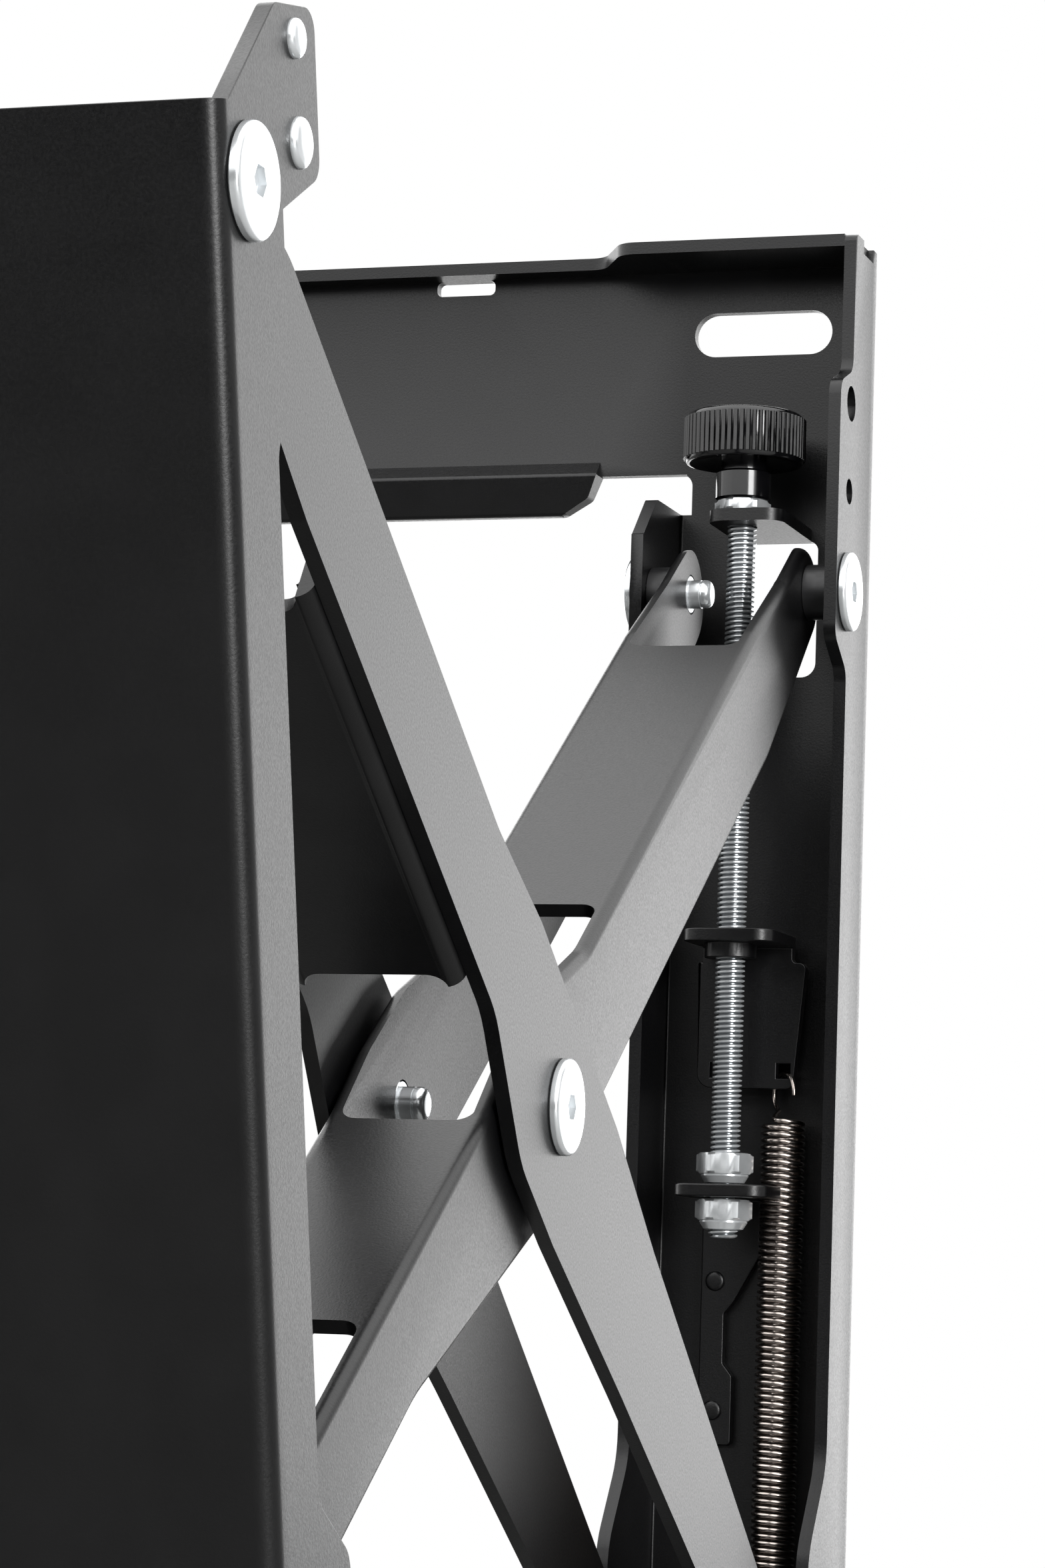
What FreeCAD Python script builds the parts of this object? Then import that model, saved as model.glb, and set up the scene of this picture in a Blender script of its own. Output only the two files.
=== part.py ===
import FreeCAD
import Part
import math
import os

# Pop-out wall mount for one screen of a video wall, shown popped out.
# Row frame: wall face at Y 0, display side towards -Y, +Z up, X 0 at mid width,
# Z 0 at mid height of the wall frame. Millimetres and degrees.

# Wall frame
mount_width = 600.0
wall_height = 500.0
sheet = 2.5
bend_radius = 3.0
fold_rounding = 2.0
rail_width = 43.0
rail_depth = 21.0
pivot_bulge_depth = 31.0
inner_bulge_depth = 30.5
slide_bulge_depth = 34.0
bulge_rounding = 14.0
cross_rounding = 5.0
pivot_below_top = 74.0
pivot_from_wall = 22.0
pivot_bulge_above = 43.5
pivot_bulge_below = 13.0
pivot_bulge_top_run = 2.0
pivot_bulge_low_run = 3.0
pivot_bulge_rounding = 4.0
bulge_run = 10.0
slide_bulge_start = 174.0
slide_bulge_run = 17.0
inner_flange_above = 20.0
relief_width = 4.7
relief_rounding = 2.5
cross_rail_height = 45.4
cross_flange_depth = 8.4
cross_step_from_edge = 50.0
cross_step_run = 7.0
cross_hem_height = 8.3
cross_hem_depth = 5.4
cross_hem_foot = 3.4
cross_hem_blend = 3.0
cross_hem_from_edge = 58.5
cross_hem_shoulder = (2.0, 4.8)
cross_hem_slant = 7.9
cross_window_from_edge = 83.0
cross_window_width = 13.0
cross_window_height = 3.1
cross_window_rounding = 1.2
front_lip_depth = 9.0
wall_slot_from_edge = 23.9
wall_slot_from_end = 16.0
wall_slot_length = 29.5
wall_slot_width = 9.3
tab_slot_height = 2.8
tab_slot_near = 5.8
tab_slot_far = 14.4
tab_slot_depth = 1.2
plain_hole_above = 38.5
plain_hole_radius = 3.6
tapped_hole_above = 20.5
tapped_hole_radius = 2.6

# Arms: side plates joined by folded webs, s runs down each arm from its top pivot
upper_half = 202.2
inner_lower_half = 138.0
open_angle = 56.3
closed_reach = 40.5
inner_arm_width = 27.0
arm_side_gap = 0.75
ear_radius = 9.0
front_ear_radius = 7.0
inner_web_face = 10.5
inner_lower_web_face = 14.0
inner_web_start = 47.0
inner_web_end = 152.0
inner_lower_web_start = 230.0
lower_pin_radius = 6.5
inner_lower_web_end = 287.0
inner_lobe = 16.0
inner_free_edge = 17.0
outer_web_face = 12.2
outer_web_start = 69.5
outer_plate_edge = 10.0
outer_channel_open = 4.0
outer_web_end = 152.0
outer_free_edge = 13.0
outer_mid_lobe = 20.5
outer_mid_free = 16.0
outer_lower_end_face = 13.0
web_end_radius = 3.0

# Front frame, built upright about its top pivot and then leaned
front_lean = 12.6
front_face_ahead = 10.0
front_flange_behind = 7.2
front_top_bulge_behind = 12.4
front_top_bulge_below = 26.0
front_slide_bulge_behind = 18.5
front_slide_bulge_start = 178.0
front_above_pivot = 10.5
front_cross_height = 58.0
front_cross_depth = 14.0
front_lip_inset = 12.0
display_hole_spacing = 300.0
display_hole_below = 41.0
display_hole_margin = 43.0
display_hole_radius = 4.5
ear_top = 24.0
ear_bottom = 1.2
ear_behind = 27.3
ear_top_ahead = 12.0
ear_neck_behind = 10.5
ear_neck_below = 4.0
ear_rounding = 3.5
ear_pin_height = 1.2
upper_ear_pin_radius = 2.8
upper_ear_pin = (19.0, 19.5)
lower_ear_pin_radius = 3.6
lower_ear_pin = (19.4, 5.6)

# Pivot bolts and slide pins
pivot_radius = 4.0
pivot_fit = 0.06
head_radius = 8.0
head_height = 2.0
head_room = 1.0
head_rounding = 0.8
spigot_radius = 2.9
spigot_rounding = 1.2
socket_radius = 2.3
socket_depth = 1.2
dome_length = 4.5
side_play = 0.1
spacer_radius = 5.6
slot_play = 0.3
curved_slot_ease = 0.3
slot_end_room = 1.5

# Adjusting rod, knob, nuts and spring carriage
rod_radius = 3.0
rod_from_wall = 20.5
rod_top_above = 33.0
rod_side = -1.0
rod_bottom_below = 130.0
rod_fit = 0.1
knob_radius = 12.5
knob_teeth = 60
tooth_depth = 0.45
knob_top_above = 37.1
knob_height = 10.3
knob_edge = 1.2
collar_radius = 5.6
collar_height = 6.0
collar_gap = 1.5
nut_flats = 10.0
jam_nut_height = 2.5
lock_nut_height = 4.3
lock_ring_height = 1.8
lock_ring_radius = 4.3
nut_chamfer = 0.5
tab_top_above = 16.4
tab_left = 6.5
tab_right = 9.0
tab_reach = 29.0
tab_rounding = 4.0
window_right = 10.5
window_bottom_below = 14.4
foot_top_below = 119.4
foot_reach = 30.0
foot_half_width = 9.5
foot_leg_length = 52.0
foot_shoulder_drop = 14.0
foot_leg_side = 2.5
foot_waist_side = 4.5
foot_waist_top = 23.0
foot_waist_low = 38.0
foot_waist_run = 2.5
foot_rivet_radius = 2.0
foot_rivet_height = 0.8
foot_rivet_side = 6.5
foot_rivet_drops = (19.0, 45.0)
foot_clear_of_spring = 1.0
seat_gap = 0.3
carriage_top_below = 68.5
carriage_half_width = 9.4
carriage_reach = 29.0
carriage_skirt = 31.0
carriage_skirt_step = 5.5
carriage_skirt_left = 10.0
carriage_skirt_right = 12.4
carriage_skirt_low = 10.1
carriage_from_wall = 8.5
carriage_bush_radius = 5.2
carriage_bush_height = 3.0
thread_pitch = 1.0
hook_hole_up = 3.6
hook_hole_side = 3.0
spring_side = 8.1
spring_from_wall = 9.75
spring_radius = 4.5
spring_wire = 1.2
spring_turns = 46
spring_top_below = 106.0
spring_above_slide = 16.4
hook_radius = 4.0
hook_swing = 20.0
hook_start = 0.35
hook_open = 0.8
hook_play = 0.15
least_gap_step = 0.5

# Slide block on the lower wall axle
block_half_width = 8.0
block_half_depth = 6.5
block_half_height = 8.5
lug_top = 9.9
lug_side = 3.2

# Values worked out from the sizes above
rad = math.radians
rail_x = mount_width / 2 - rail_width / 2
edge_x = mount_width / 2
pivot_z = wall_height / 2 - pivot_below_top
pivot_y = -pivot_from_wall
closed_angle = math.degrees(math.asin(closed_reach / (2 * upper_half)))
fold_range = open_angle - closed_angle
sin_open = math.sin(rad(open_angle))
cos_open = math.cos(rad(open_angle))
mid_y = pivot_y - upper_half * sin_open
mid_z = pivot_z - upper_half * cos_open
front_y = pivot_y - 2 * upper_half * sin_open
front_z = pivot_z
outer_arm_width = inner_arm_width + 2 * arm_side_gap + 2 * sheet
outer_lower_half = upper_half
slide_open_z = pivot_z - 2 * upper_half * cos_open
slide_closed_z = pivot_z - 2 * upper_half * math.cos(rad(closed_angle))
rail_inner = rail_width / 2 - sheet
rod_x = rail_x + rod_side
front_below_pivot = display_hole_below + display_hole_spacing + display_hole_margin
inner_half = inner_arm_width / 2
outer_half = outer_arm_width / 2
X_AXIS = FreeCAD.Vector(1, 0, 0)
Y_AXIS = FreeCAD.Vector(0, 1, 0)
Z_AXIS = FreeCAD.Vector(0, 0, 1)


def vec(x, y, z):
    return FreeCAD.Vector(x, y, z)


def box(x0, x1, y0, y1, z0, z1):
    return Part.makeBox(x1 - x0, y1 - y0, z1 - z0, vec(x0, y0, z0))


def cylinder(start, axis, radius, length):
    return Part.makeCylinder(radius, length, start, axis)


def fuse(shapes):
    whole = shapes[0]
    for shape in shapes[1:]:
        whole = whole.fuse(shape)
    return whole.removeSplitter()


def cut(shape, tools):
    for tool in tools:
        shape = shape.cut(tool)
    return shape


# A closed wire through corner points (u, v, radius), each corner rounded by its radius
def rounded_wire(corners, place):
    count = len(corners)
    starts = []
    ends = []
    mids = []
    for i in range(count):
        u, v, radius = corners[i]
        pu, pv, _ = corners[i - 1]
        nu, nv, _ = corners[(i + 1) % count]
        here = vec(u, v, 0)
        back = vec(pu, pv, 0) - here
        ahead = vec(nu, nv, 0) - here
        back_length = back.Length
        ahead_length = ahead.Length
        back.normalize()
        ahead.normalize()
        angle = back.getAngle(ahead)
        if radius <= 0 or abs(angle - math.pi) < 0.001:
            starts.append(here)
            ends.append(here)
            mids.append(None)
            continue
        trim = radius / math.tan(angle / 2)
        limit = 0.49 * min(back_length, ahead_length)
        if trim > limit:
            trim = limit
            radius = trim * math.tan(angle / 2)
        bisector = back + ahead
        bisector.normalize()
        starts.append(here + back * trim)
        ends.append(here + ahead * trim)
        mids.append(here + bisector * (radius / math.sin(angle / 2) - radius))
    edges = []
    for i in range(count):
        if mids[i] is not None:
            edges.append(Part.Arc(place(starts[i]), place(mids[i]), place(ends[i])).toShape())
        following = starts[(i + 1) % count]
        if (following - ends[i]).Length > 0.0001:
            edges.append(Part.LineSegment(place(ends[i]), place(following)).toShape())
    return Part.Wire(edges)


# A plate with its outline in (Y, Z), from x0 to x1
def side_plate(corners, x0, x1):
    wire = rounded_wire(corners, lambda p: vec(x0, p.x, p.y))
    return Part.Face(wire).extrude(vec(x1 - x0, 0, 0))


# A plate with its outline in (X, Y), from z0 to z1
def flat_plate(corners, z0, z1):
    wire = rounded_wire(corners, lambda p: vec(p.x, p.y, z0))
    return Part.Face(wire).extrude(vec(0, 0, z1 - z0))


# A plate with its outline in (X, Z), from y0 to y1
def face_plate(corners, y0, y1):
    wire = rounded_wire(corners, lambda p: vec(p.x, y0, p.y))
    return Part.Face(wire).extrude(vec(0, y1 - y0, 0))


# An upright channel of bent sheet: web at y_web, flanges reaching to y_open
def channel(x_mid, width, y_web, y_open, z0, z1, radius):
    side = 1 if y_open > y_web else -1
    half = width / 2
    inner = radius - sheet if radius > sheet else 0.0
    corners = [
        (x_mid - half, y_open, 0),
        (x_mid - half, y_web, radius),
        (x_mid + half, y_web, radius),
        (x_mid + half, y_open, 0),
        (x_mid + half - sheet, y_open, 0),
        (x_mid + half - sheet, y_web + side * sheet, inner),
        (x_mid - half + sheet, y_web + side * sheet, inner),
        (x_mid - half + sheet, y_open, 0),
    ]
    return flat_plate(corners, z0, z1)


# A slot along X through a plate, rounded at both ends
def x_slot(x, z, length, width, y0, y1):
    radius = width / 2
    half = length / 2 - radius
    ends = [cylinder(vec(x + s * half, y0, z), Y_AXIS, radius, y1 - y0) for s in (-1, 1)]
    return fuse([box(x - half, x + half, y0, y1, z - radius, z + radius)] + ends)


# A slot along Z through flanges that stand square to X
def z_slot(y, z0, z1, width, x0, x1):
    radius = width / 2
    ends = [cylinder(vec(x0, y, z), X_AXIS, radius, x1 - x0) for z in (z0, z1)]
    return fuse([box(x0, x1, y - radius, y + radius, z0, z1)] + ends)


def mirrored(shape):
    return shape.mirror(vec(0, 0, 0), X_AXIS)


# Outline of the wall rail seen from the side, with bulges round the pivot and the slide
def wall_rail_outline():
    top = wall_height / 2
    r = bulge_rounding
    shallow = -rail_depth
    deep = -pivot_bulge_depth
    slide = -slide_bulge_depth
    upper = pivot_z + pivot_bulge_above
    lower = pivot_z - pivot_bulge_below
    start = pivot_z - slide_bulge_start
    return [
        (0, top, 0),
        (shallow, top, 1.5),
        (shallow, upper + pivot_bulge_top_run, pivot_bulge_rounding),
        (deep, upper - pivot_bulge_top_run, pivot_bulge_rounding),
        (deep, lower + pivot_bulge_low_run, pivot_bulge_rounding),
        (shallow, lower - pivot_bulge_low_run, pivot_bulge_rounding),
        (shallow, start, r),
        (slide, start - slide_bulge_run, r),
        (slide, -top + 8, 4),
        (shallow, -top, 1.5),
        (0, -top, 0),
    ]


def wall_rail():
    top = wall_height / 2
    deepest = max(pivot_bulge_depth, slide_bulge_depth, rail_depth)
    rail = channel(rail_x, rail_width, 0, -deepest - 1, -top, top, bend_radius)
    rail = rail.common(side_plate(wall_rail_outline(), rail_x - rail_width, rail_x + rail_width))
    inner_edge = rail_x - rail_width / 2
    inner_top = pivot_z + inner_flange_above
    # the inner flange starts below the top cross rail, with a chamfer towards the display
    trim = [
        (-deepest - 2, top + 1, 0),
        (0, top + 1, 0),
        (0, inner_top, 0),
        (-rail_depth, inner_top, 2),
        (-inner_bulge_depth, inner_top - 9, 2),
        (-deepest - 2, inner_top - 9, 0),
    ]
    rail = rail.cut(side_plate(trim, inner_edge - 1, inner_edge + sheet + 1))
    rail = rail.cut(box(inner_edge - 1, inner_edge + sheet + 0.01, -deepest - 2,
                        -inner_bulge_depth, pivot_z - pivot_bulge_above, top + 1))
    lower_trim = box(inner_edge - 1, inner_edge + sheet + 1, -deepest - 2, 1,
                     -top - 1, -top + cross_rail_height + relief_width)
    rail = rail.cut(lower_trim)
    web_tools = []
    relief_z = top - cross_rail_height
    notch = [
        (inner_edge - 1, inner_top, 0),
        (inner_edge + relief_width, inner_top, 0),
        (inner_edge + relief_width, relief_z, relief_rounding),
        (inner_edge - 1, relief_z, 0),
    ]
    web_tools.append(face_plate(notch, -sheet - 1, 1))
    web_tools.append(box(inner_edge - 1, inner_edge + relief_width, -sheet - 1, 1,
                         -relief_z, -relief_z + relief_width))
    for sign in (-1, 1):
        slot_z = sign * (top - wall_slot_from_end)
        web_tools.append(x_slot(edge_x - wall_slot_from_edge, slot_z, wall_slot_length,
                                wall_slot_width, -sheet - 1, 1))
    tab_top = pivot_z + tab_top_above
    window = [
        (rail_x - tab_left, tab_top - sheet, 0),
        (rail_x + window_right, tab_top - sheet, 2),
        (rail_x + window_right, pivot_z - window_bottom_below, 3),
        (rail_x - tab_left, pivot_z - window_bottom_below, 3),
    ]
    web_tools.append(face_plate(window, -sheet - 1, 1))
    rail = cut(rail, web_tools)
    # holes in the flanges: plain, tapped, pivot and the slide slot
    holes = []
    across = edge_x - rail_width - 1
    holes.append(cylinder(vec(rail_x, pivot_y, pivot_z + plain_hole_above), X_AXIS,
                          plain_hole_radius, rail_width))
    holes.append(cylinder(vec(rail_x, pivot_y, pivot_z + tapped_hole_above), X_AXIS,
                          tapped_hole_radius, rail_width))
    holes.append(cylinder(vec(across, pivot_y, pivot_z), X_AXIS,
                          pivot_radius + pivot_fit, rail_width + 2))
    holes.append(z_slot(pivot_y, slide_closed_z - slot_end_room, slide_open_z + slot_end_room,
                        2 * (pivot_radius + slot_play), across, across + rail_width + 2))
    # the tab of the top flange shows in a slot at the corner
    holes.append(box(edge_x - tab_slot_depth, edge_x + 1, -tab_slot_far, -tab_slot_near,
                     top - tab_slot_height, top + 1))
    rail = cut(rail, holes)
    # the top end is closed by the flange of the top cross rail, folded over the rail
    cap = box(inner_edge, edge_x - sheet, -rail_depth, 0, top - sheet, top)
    bottom_cap = box(inner_edge, edge_x - sheet, -rail_depth, 0, -top, -top + sheet)
    tab = rod_tab()
    return fuse([rail, cap, bottom_cap, tab])


# Rod bearing tab bent forward out of the rail's web
def rod_tab():
    z1 = pivot_z + tab_top_above
    tab = flat_plate([
        (rail_x - tab_left, -sheet, 0),
        (rail_x + tab_right, -sheet, 0),
        (rail_x + tab_right, -tab_reach, tab_rounding),
        (rail_x - tab_left, -tab_reach, tab_rounding),
    ], z1 - sheet, z1)
    bore = cylinder(vec(rod_x, -rod_from_wall, z1 - 2 * sheet), Z_AXIS,
                    rod_radius + rod_fit, 3 * sheet)
    return tab.cut(bore)


# Folded hem along a cross rail's inner edge, a wedge with slanted ends
def cross_hem(z_low):
    end = edge_x - cross_hem_from_edge
    shoulder = end - cross_hem_shoulder[0]
    foot = end - cross_hem_slant
    high = z_low + cross_hem_blend
    low = z_low - cross_hem_height
    wedge = side_plate([
        (0, high, 0),
        (-sheet, high, 0),
        (-cross_hem_depth, z_low, 1),
        (-cross_hem_foot, low, 1),
        (0, low, 0.5),
    ], -end, end)
    front = face_plate([
        (-end, high, 0),
        (end, high, 0),
        (end, z_low, 0),
        (shoulder, z_low - cross_hem_shoulder[1], 2),
        (foot, low, 3),
        (-foot, low, 3),
        (-shoulder, z_low - cross_hem_shoulder[1], 2),
        (-end, z_low, 0),
    ], -cross_hem_depth - 1, 1)
    return wedge.common(front)


# Cross rail between the two rails: web on the wall, flange at the frame's end, hem inside
def wall_cross_rail(top_side):
    top = wall_height / 2
    x_end = rail_x - rail_width / 2
    z_low = top - cross_rail_height
    web_end = x_end + sheet + 1
    web = fuse([box(-x_end, x_end, -sheet, 0, z_low, top),
                box(-web_end, web_end, -sheet, 0, z_low, top - sheet)])
    step_x = edge_x - cross_step_from_edge
    flange_corners = [
        (-x_end, 0, 0),
        (x_end, 0, 0),
        (x_end, -rail_depth, 0),
        (step_x, -rail_depth, cross_rounding),
        (step_x - cross_step_run, -cross_flange_depth, cross_rounding),
        (-step_x + cross_step_run, -cross_flange_depth, cross_rounding),
        (-step_x, -rail_depth, cross_rounding),
        (-x_end, -rail_depth, 0),
    ]
    flange = flat_plate(flange_corners, top - sheet, top)
    rail = fuse([web, flange, cross_hem(z_low)])
    edges = [e for e in rail.Edges if abs(e.BoundBox.YMax) < 0.001 and e.BoundBox.YLength < 0.001
             and e.BoundBox.ZLength < 0.001 and e.BoundBox.XLength > 100
             and abs(e.BoundBox.ZMax - top) < 0.001]
    rail = rail.makeFillet(fold_rounding, edges)
    # low windows in the web, right under the flange
    windows = []
    window_top = top - sheet
    window_low = window_top - cross_window_height
    for sign in (-1, 1):
        x_mid = sign * (edge_x - cross_window_from_edge - cross_window_width / 2)
        half = cross_window_width / 2
        windows.append(face_plate([
            (x_mid - half, window_top, cross_window_rounding),
            (x_mid + half, window_top, cross_window_rounding),
            (x_mid + half, window_low, cross_window_rounding),
            (x_mid - half, window_low, cross_window_rounding),
        ], -sheet - 1, 1))
    rail = cut(rail, windows)
    if not top_side:
        rail = rail.mirror(vec(0, 0, 0), Z_AXIS)
    return rail


def inner_arm():
    end = upper_half + inner_lower_half
    half = inner_half
    f = inner_web_face
    g = inner_lower_web_face
    free = inner_free_edge
    e = ear_radius
    low = lower_pin_radius
    lobe = inner_lobe
    outline = [
        (-e, e, e),
        (e, e, e),
        (e + 4, -20, 12),
        (free - 1, -44, 30),
        (free, -upper_half + 40, 20),
        (free, -upper_half - 12, 20),
        (low, -upper_half - 75, 40),
        (low, -end - low, low),
        (-low, -end - low, low),
        (-g, -end + 22, 10),
        (-g, -upper_half - 26, 10),
        (-lobe, -upper_half - 10, 14),
        (-lobe, -upper_half + 10, 18),
        (-f, -upper_half + 34, 18),
        (-f, -inner_web_start + 6, 10),
        (-e, -14, 10),
    ]
    webs = [web_plate(half - sheet, f, inner_web_start, inner_web_end),
            web_plate(half - sheet, g, inner_lower_web_start, inner_lower_web_end)]
    return arm_shape(outline, webs, (f, g), half)


# The side plates follow the outline; a fold is rounded where a plate meets its web
def arm_shape(outline, webs, faces, half):
    plates = [side_plate(outline, x0, x0 + sheet) for x0 in (-half, half - sheet)]
    arm = fuse(plates + webs)
    fold_edges = []
    for edge in arm.Edges:
        b = edge.BoundBox
        straight = b.XLength < 0.001 and b.ZLength > 30
        on_fold = abs(abs(b.XMax) - half) < 0.001
        near = any(abs(b.YMax + face) < 0.01 and abs(b.YMin + face) < 0.01 for face in faces)
        if straight and on_fold and near:
            fold_edges.append(edge)
    if fold_edges:
        arm = arm.makeFillet(fold_rounding, fold_edges)
    return arm


# Cutters for both ends of a web between plates: straight across, with rounded corners
def web_end_cuts(inner, face, start, stop):
    r = web_end_radius
    cuts = []
    for edge, away in ((-start, 1), (-stop, -1)):
        corners = [
            (-inner, edge, r),
            (inner, edge, r),
            (inner, edge + away * 5 * r, 0),
            (-inner, edge + away * 5 * r, 0),
        ]
        cuts.append(face_plate(corners, -face - 1, -face + sheet + 0.01))
    return cuts


def web_plate(inner, face, start, stop):
    r = web_end_radius
    web = box(-inner, inner, -face, -face + sheet, -stop - r, -start + r)
    return cut(web, web_end_cuts(inner, face, start, stop))


# The outer arm's inner channel, its web proud of the side plates' edges
def arm_channel(inner, face, start, stop):
    r = web_end_radius
    body = channel(0, 2 * inner, -face, -outer_channel_open, -stop - r, -start + r, bend_radius)
    return cut(body, web_end_cuts(inner - sheet, face, start, stop))


def outer_arm():
    end = upper_half + outer_lower_half
    half = outer_half
    f = outer_plate_edge
    free = outer_free_edge
    small = front_ear_radius
    e = ear_radius
    outline = [
        (-small, small, small),
        (small, small, small),
        (free, -26, 20),
        (free, -upper_half + 55, 30),
        (outer_mid_free, -upper_half + 28, 20),
        (outer_mid_free, -upper_half - 28, 20),
        (free, -upper_half - 60, 30),
        (e - 1, -end + 40, 20),
        (e - 1, -end - e + 1, e - 1),
        (-e + 1, -end - e + 1, e - 1),
        (-outer_lower_end_face, -end + 36, 20),
        (-outer_mid_lobe + 3, -upper_half - 60, 40),
        (-outer_mid_lobe, -upper_half - 10, 25),
        (-outer_mid_lobe, -upper_half + 12, 18),
        (-f, -upper_half + 38, 18),
        (-f, -outer_web_start + 16, 10),
        (-small, -12, 8),
    ]
    webs = [arm_channel(half - sheet, outer_web_face, outer_web_start, outer_web_end)]
    return arm_shape(outline, webs, (), half)


def arm_bores(arm, places):
    tools = []
    for s in places:
        tools.append(cylinder(vec(-50, 0, -s), X_AXIS, pivot_radius + pivot_fit, 100))
    return cut(arm, tools)


def moved(shape, x):
    placed = shape.copy()
    placed.translate(vec(x, 0, 0))
    return placed


# Puts an upright shape on its pivot and turns it about X
def hang(shape, x, y, z, angle):
    placed = shape.copy()
    placed.translate(vec(x, y, z))
    placed.rotate(vec(x, y, z), X_AXIS, angle)
    return placed


# A low-headed pivot bolt along X: the head's seat at x_seat, the spigot's end at x_end
def pivot_bolt(x_seat, x_end, y, z):
    side = 1 if x_seat > x_end else -1
    axis = vec(side, 0, 0)
    head = cylinder(vec(x_seat, y, z), axis, head_radius, head_height)
    rim = [e for e in head.Edges if abs(e.BoundBox.XMax - x_seat - (side * head_height)) < 0.01
           and e.BoundBox.XLength < 0.001 and e.BoundBox.YLength > head_radius]
    head = head.makeFillet(head_rounding, rim)
    shank = cylinder(vec(x_end + side * dome_length, y, z), axis, pivot_radius,
                     abs(x_seat - x_end) - dome_length)
    spigot = cylinder(vec(x_end, y, z), axis, spigot_radius, dome_length)
    end_rim = [e for e in spigot.Edges if abs(e.BoundBox.XMax - x_end) < 0.01
               and e.BoundBox.XLength < 0.001]
    spigot = spigot.makeFillet(spigot_rounding, end_rim)
    bolt = fuse([head, shank, spigot])
    outer = x_seat + side * head_height
    socket = hexagon_x(outer - side * socket_depth, side * (socket_depth + 1), socket_radius, y, z)
    return bolt.cut(socket)


def hexagon_x(x0, length, radius, y, z):
    points = []
    for i in range(7):
        angle = rad(60 * i)
        points.append(vec(x0, y + radius * math.cos(angle), z + radius * math.sin(angle)))
    return Part.Face(Part.makePolygon(points)).extrude(vec(length, 0, 0))


def ring_x(x0, x1, y, z, outer, inner):
    low = min(x0, x1)
    length = abs(x1 - x0)
    ring = cylinder(vec(low, y, z), X_AXIS, outer, length)
    return ring.cut(cylinder(vec(low - 1, y, z), X_AXIS, inner, length + 2))


# Bolts on both sides of one rail at a pivot: seat and end distances from the rail's centre
def bolt_pair(x_mid, seats, ends, y, z):
    return [pivot_bolt(x_mid + s * seat, x_mid + s * end, y, z)
            for s, seat, end in ((1, seats[0], ends[0]), (-1, seats[1], ends[1]))]


def spacer_pair(x_mid, near, far, y, z):
    rings = []
    for s in (-1, 1):
        rings.append(ring_x(x_mid + s * (near + side_play), x_mid + s * (far - side_play), y, z,
                            spacer_radius, pivot_radius + pivot_fit))
    return rings


# Front rail outline about its top pivot, display side towards -Y
def front_rail_outline():
    ahead = -front_face_ahead
    normal = front_flange_behind
    return [
        (ahead, front_above_pivot, 0),
        (front_top_bulge_behind, front_above_pivot, 4),
        (front_top_bulge_behind, -front_top_bulge_below, 5),
        (normal, -front_top_bulge_below - bulge_run, 5),
        (normal, -front_slide_bulge_start, 5),
        (front_slide_bulge_behind, -front_slide_bulge_start - bulge_run, 5),
        (front_slide_bulge_behind, -front_below_pivot + 6, 5),
        (normal, -front_below_pivot, 3),
        (ahead, -front_below_pivot, 0),
    ]


# Where the inner arm's lower pin runs in the front frame: depth behind the pivot and
# distance below it, while the frame's lean follows the fold at a constant ratio
def slide_path(share):
    angle = rad(closed_angle + share * (open_angle - closed_angle))
    lean = rad(share * front_lean)
    behind = (upper_half - inner_lower_half) * math.sin(angle)
    below = (upper_half + inner_lower_half) * math.cos(angle)
    depth = behind * math.cos(lean) - below * math.sin(lean)
    length = behind * math.sin(lean) + below * math.cos(lean)
    return depth, -length


# The curved guide slot along that path, as arcs on both sides and round ends
def front_slide_slot(x0, x1):
    radius = pivot_radius + slot_play + curved_slot_ease
    steps = 8
    centres = [slide_path(i / steps) for i in range(steps + 1)]
    normals = []
    for i in range(steps + 1):
        before = slide_path(i / steps - 0.01)
        after = slide_path(i / steps + 0.01)
        run = vec(after[0] - before[0], after[1] - before[1], 0)
        run.normalize()
        normals.append((run, vec(-run.y, run.x, 0)))
    start_run = normals[0][0]
    end_run = normals[-1][0]
    centres = [vec(c[0], c[1], 0) for c in centres]
    centres[0] = centres[0] - start_run * slot_end_room
    centres[-1] = centres[-1] + end_run * slot_end_room

    def place(p):
        return vec(x0, p.x, p.y)

    left = [place(c + n[1] * radius) for c, n in zip(centres, normals)]
    right = [place(c - n[1] * radius) for c, n in zip(centres, normals)]
    edges = []
    for i in range(0, steps, 2):
        edges.append(Part.Arc(left[i], left[i + 1], left[i + 2]).toShape())
    edges.append(Part.Arc(left[-1], place(centres[-1] + end_run * radius), right[-1]).toShape())
    for i in range(steps, 0, -2):
        edges.append(Part.Arc(right[i], right[i - 1], right[i - 2]).toShape())
    edges.append(Part.Arc(right[0], place(centres[0] - start_run * radius), left[0]).toShape())
    return Part.Face(Part.Wire(edges)).extrude(vec(x1 - x0, 0, 0))


def front_rail():
    half = rail_width / 2
    rail = channel(0, rail_width, -front_face_ahead, front_slide_bulge_behind + 2,
                   -front_below_pivot, front_above_pivot, bend_radius)
    rail = rail.common(side_plate(front_rail_outline(), -half - 1, half + 1))
    # the outer flange runs up into an ear for the screen's hook
    ear = side_plate([
        (-front_face_ahead + bend_radius, front_above_pivot - 0.5, 0),
        (ear_top_ahead, ear_top, ear_rounding),
        (ear_behind, ear_top, ear_rounding),
        (ear_behind, ear_bottom, ear_rounding),
        (ear_neck_behind, -ear_neck_below, 2),
        (-front_face_ahead + bend_radius, -ear_neck_below, 0),
    ], half - sheet, half)
    rail = fuse([rail, ear])
    bore = cylinder(vec(-half - 1, 0, 0), X_AXIS, pivot_radius + pivot_fit, rail_width + 2)
    return cut(rail, [bore, front_slide_slot(-half - 1, half + 1)])


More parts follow.
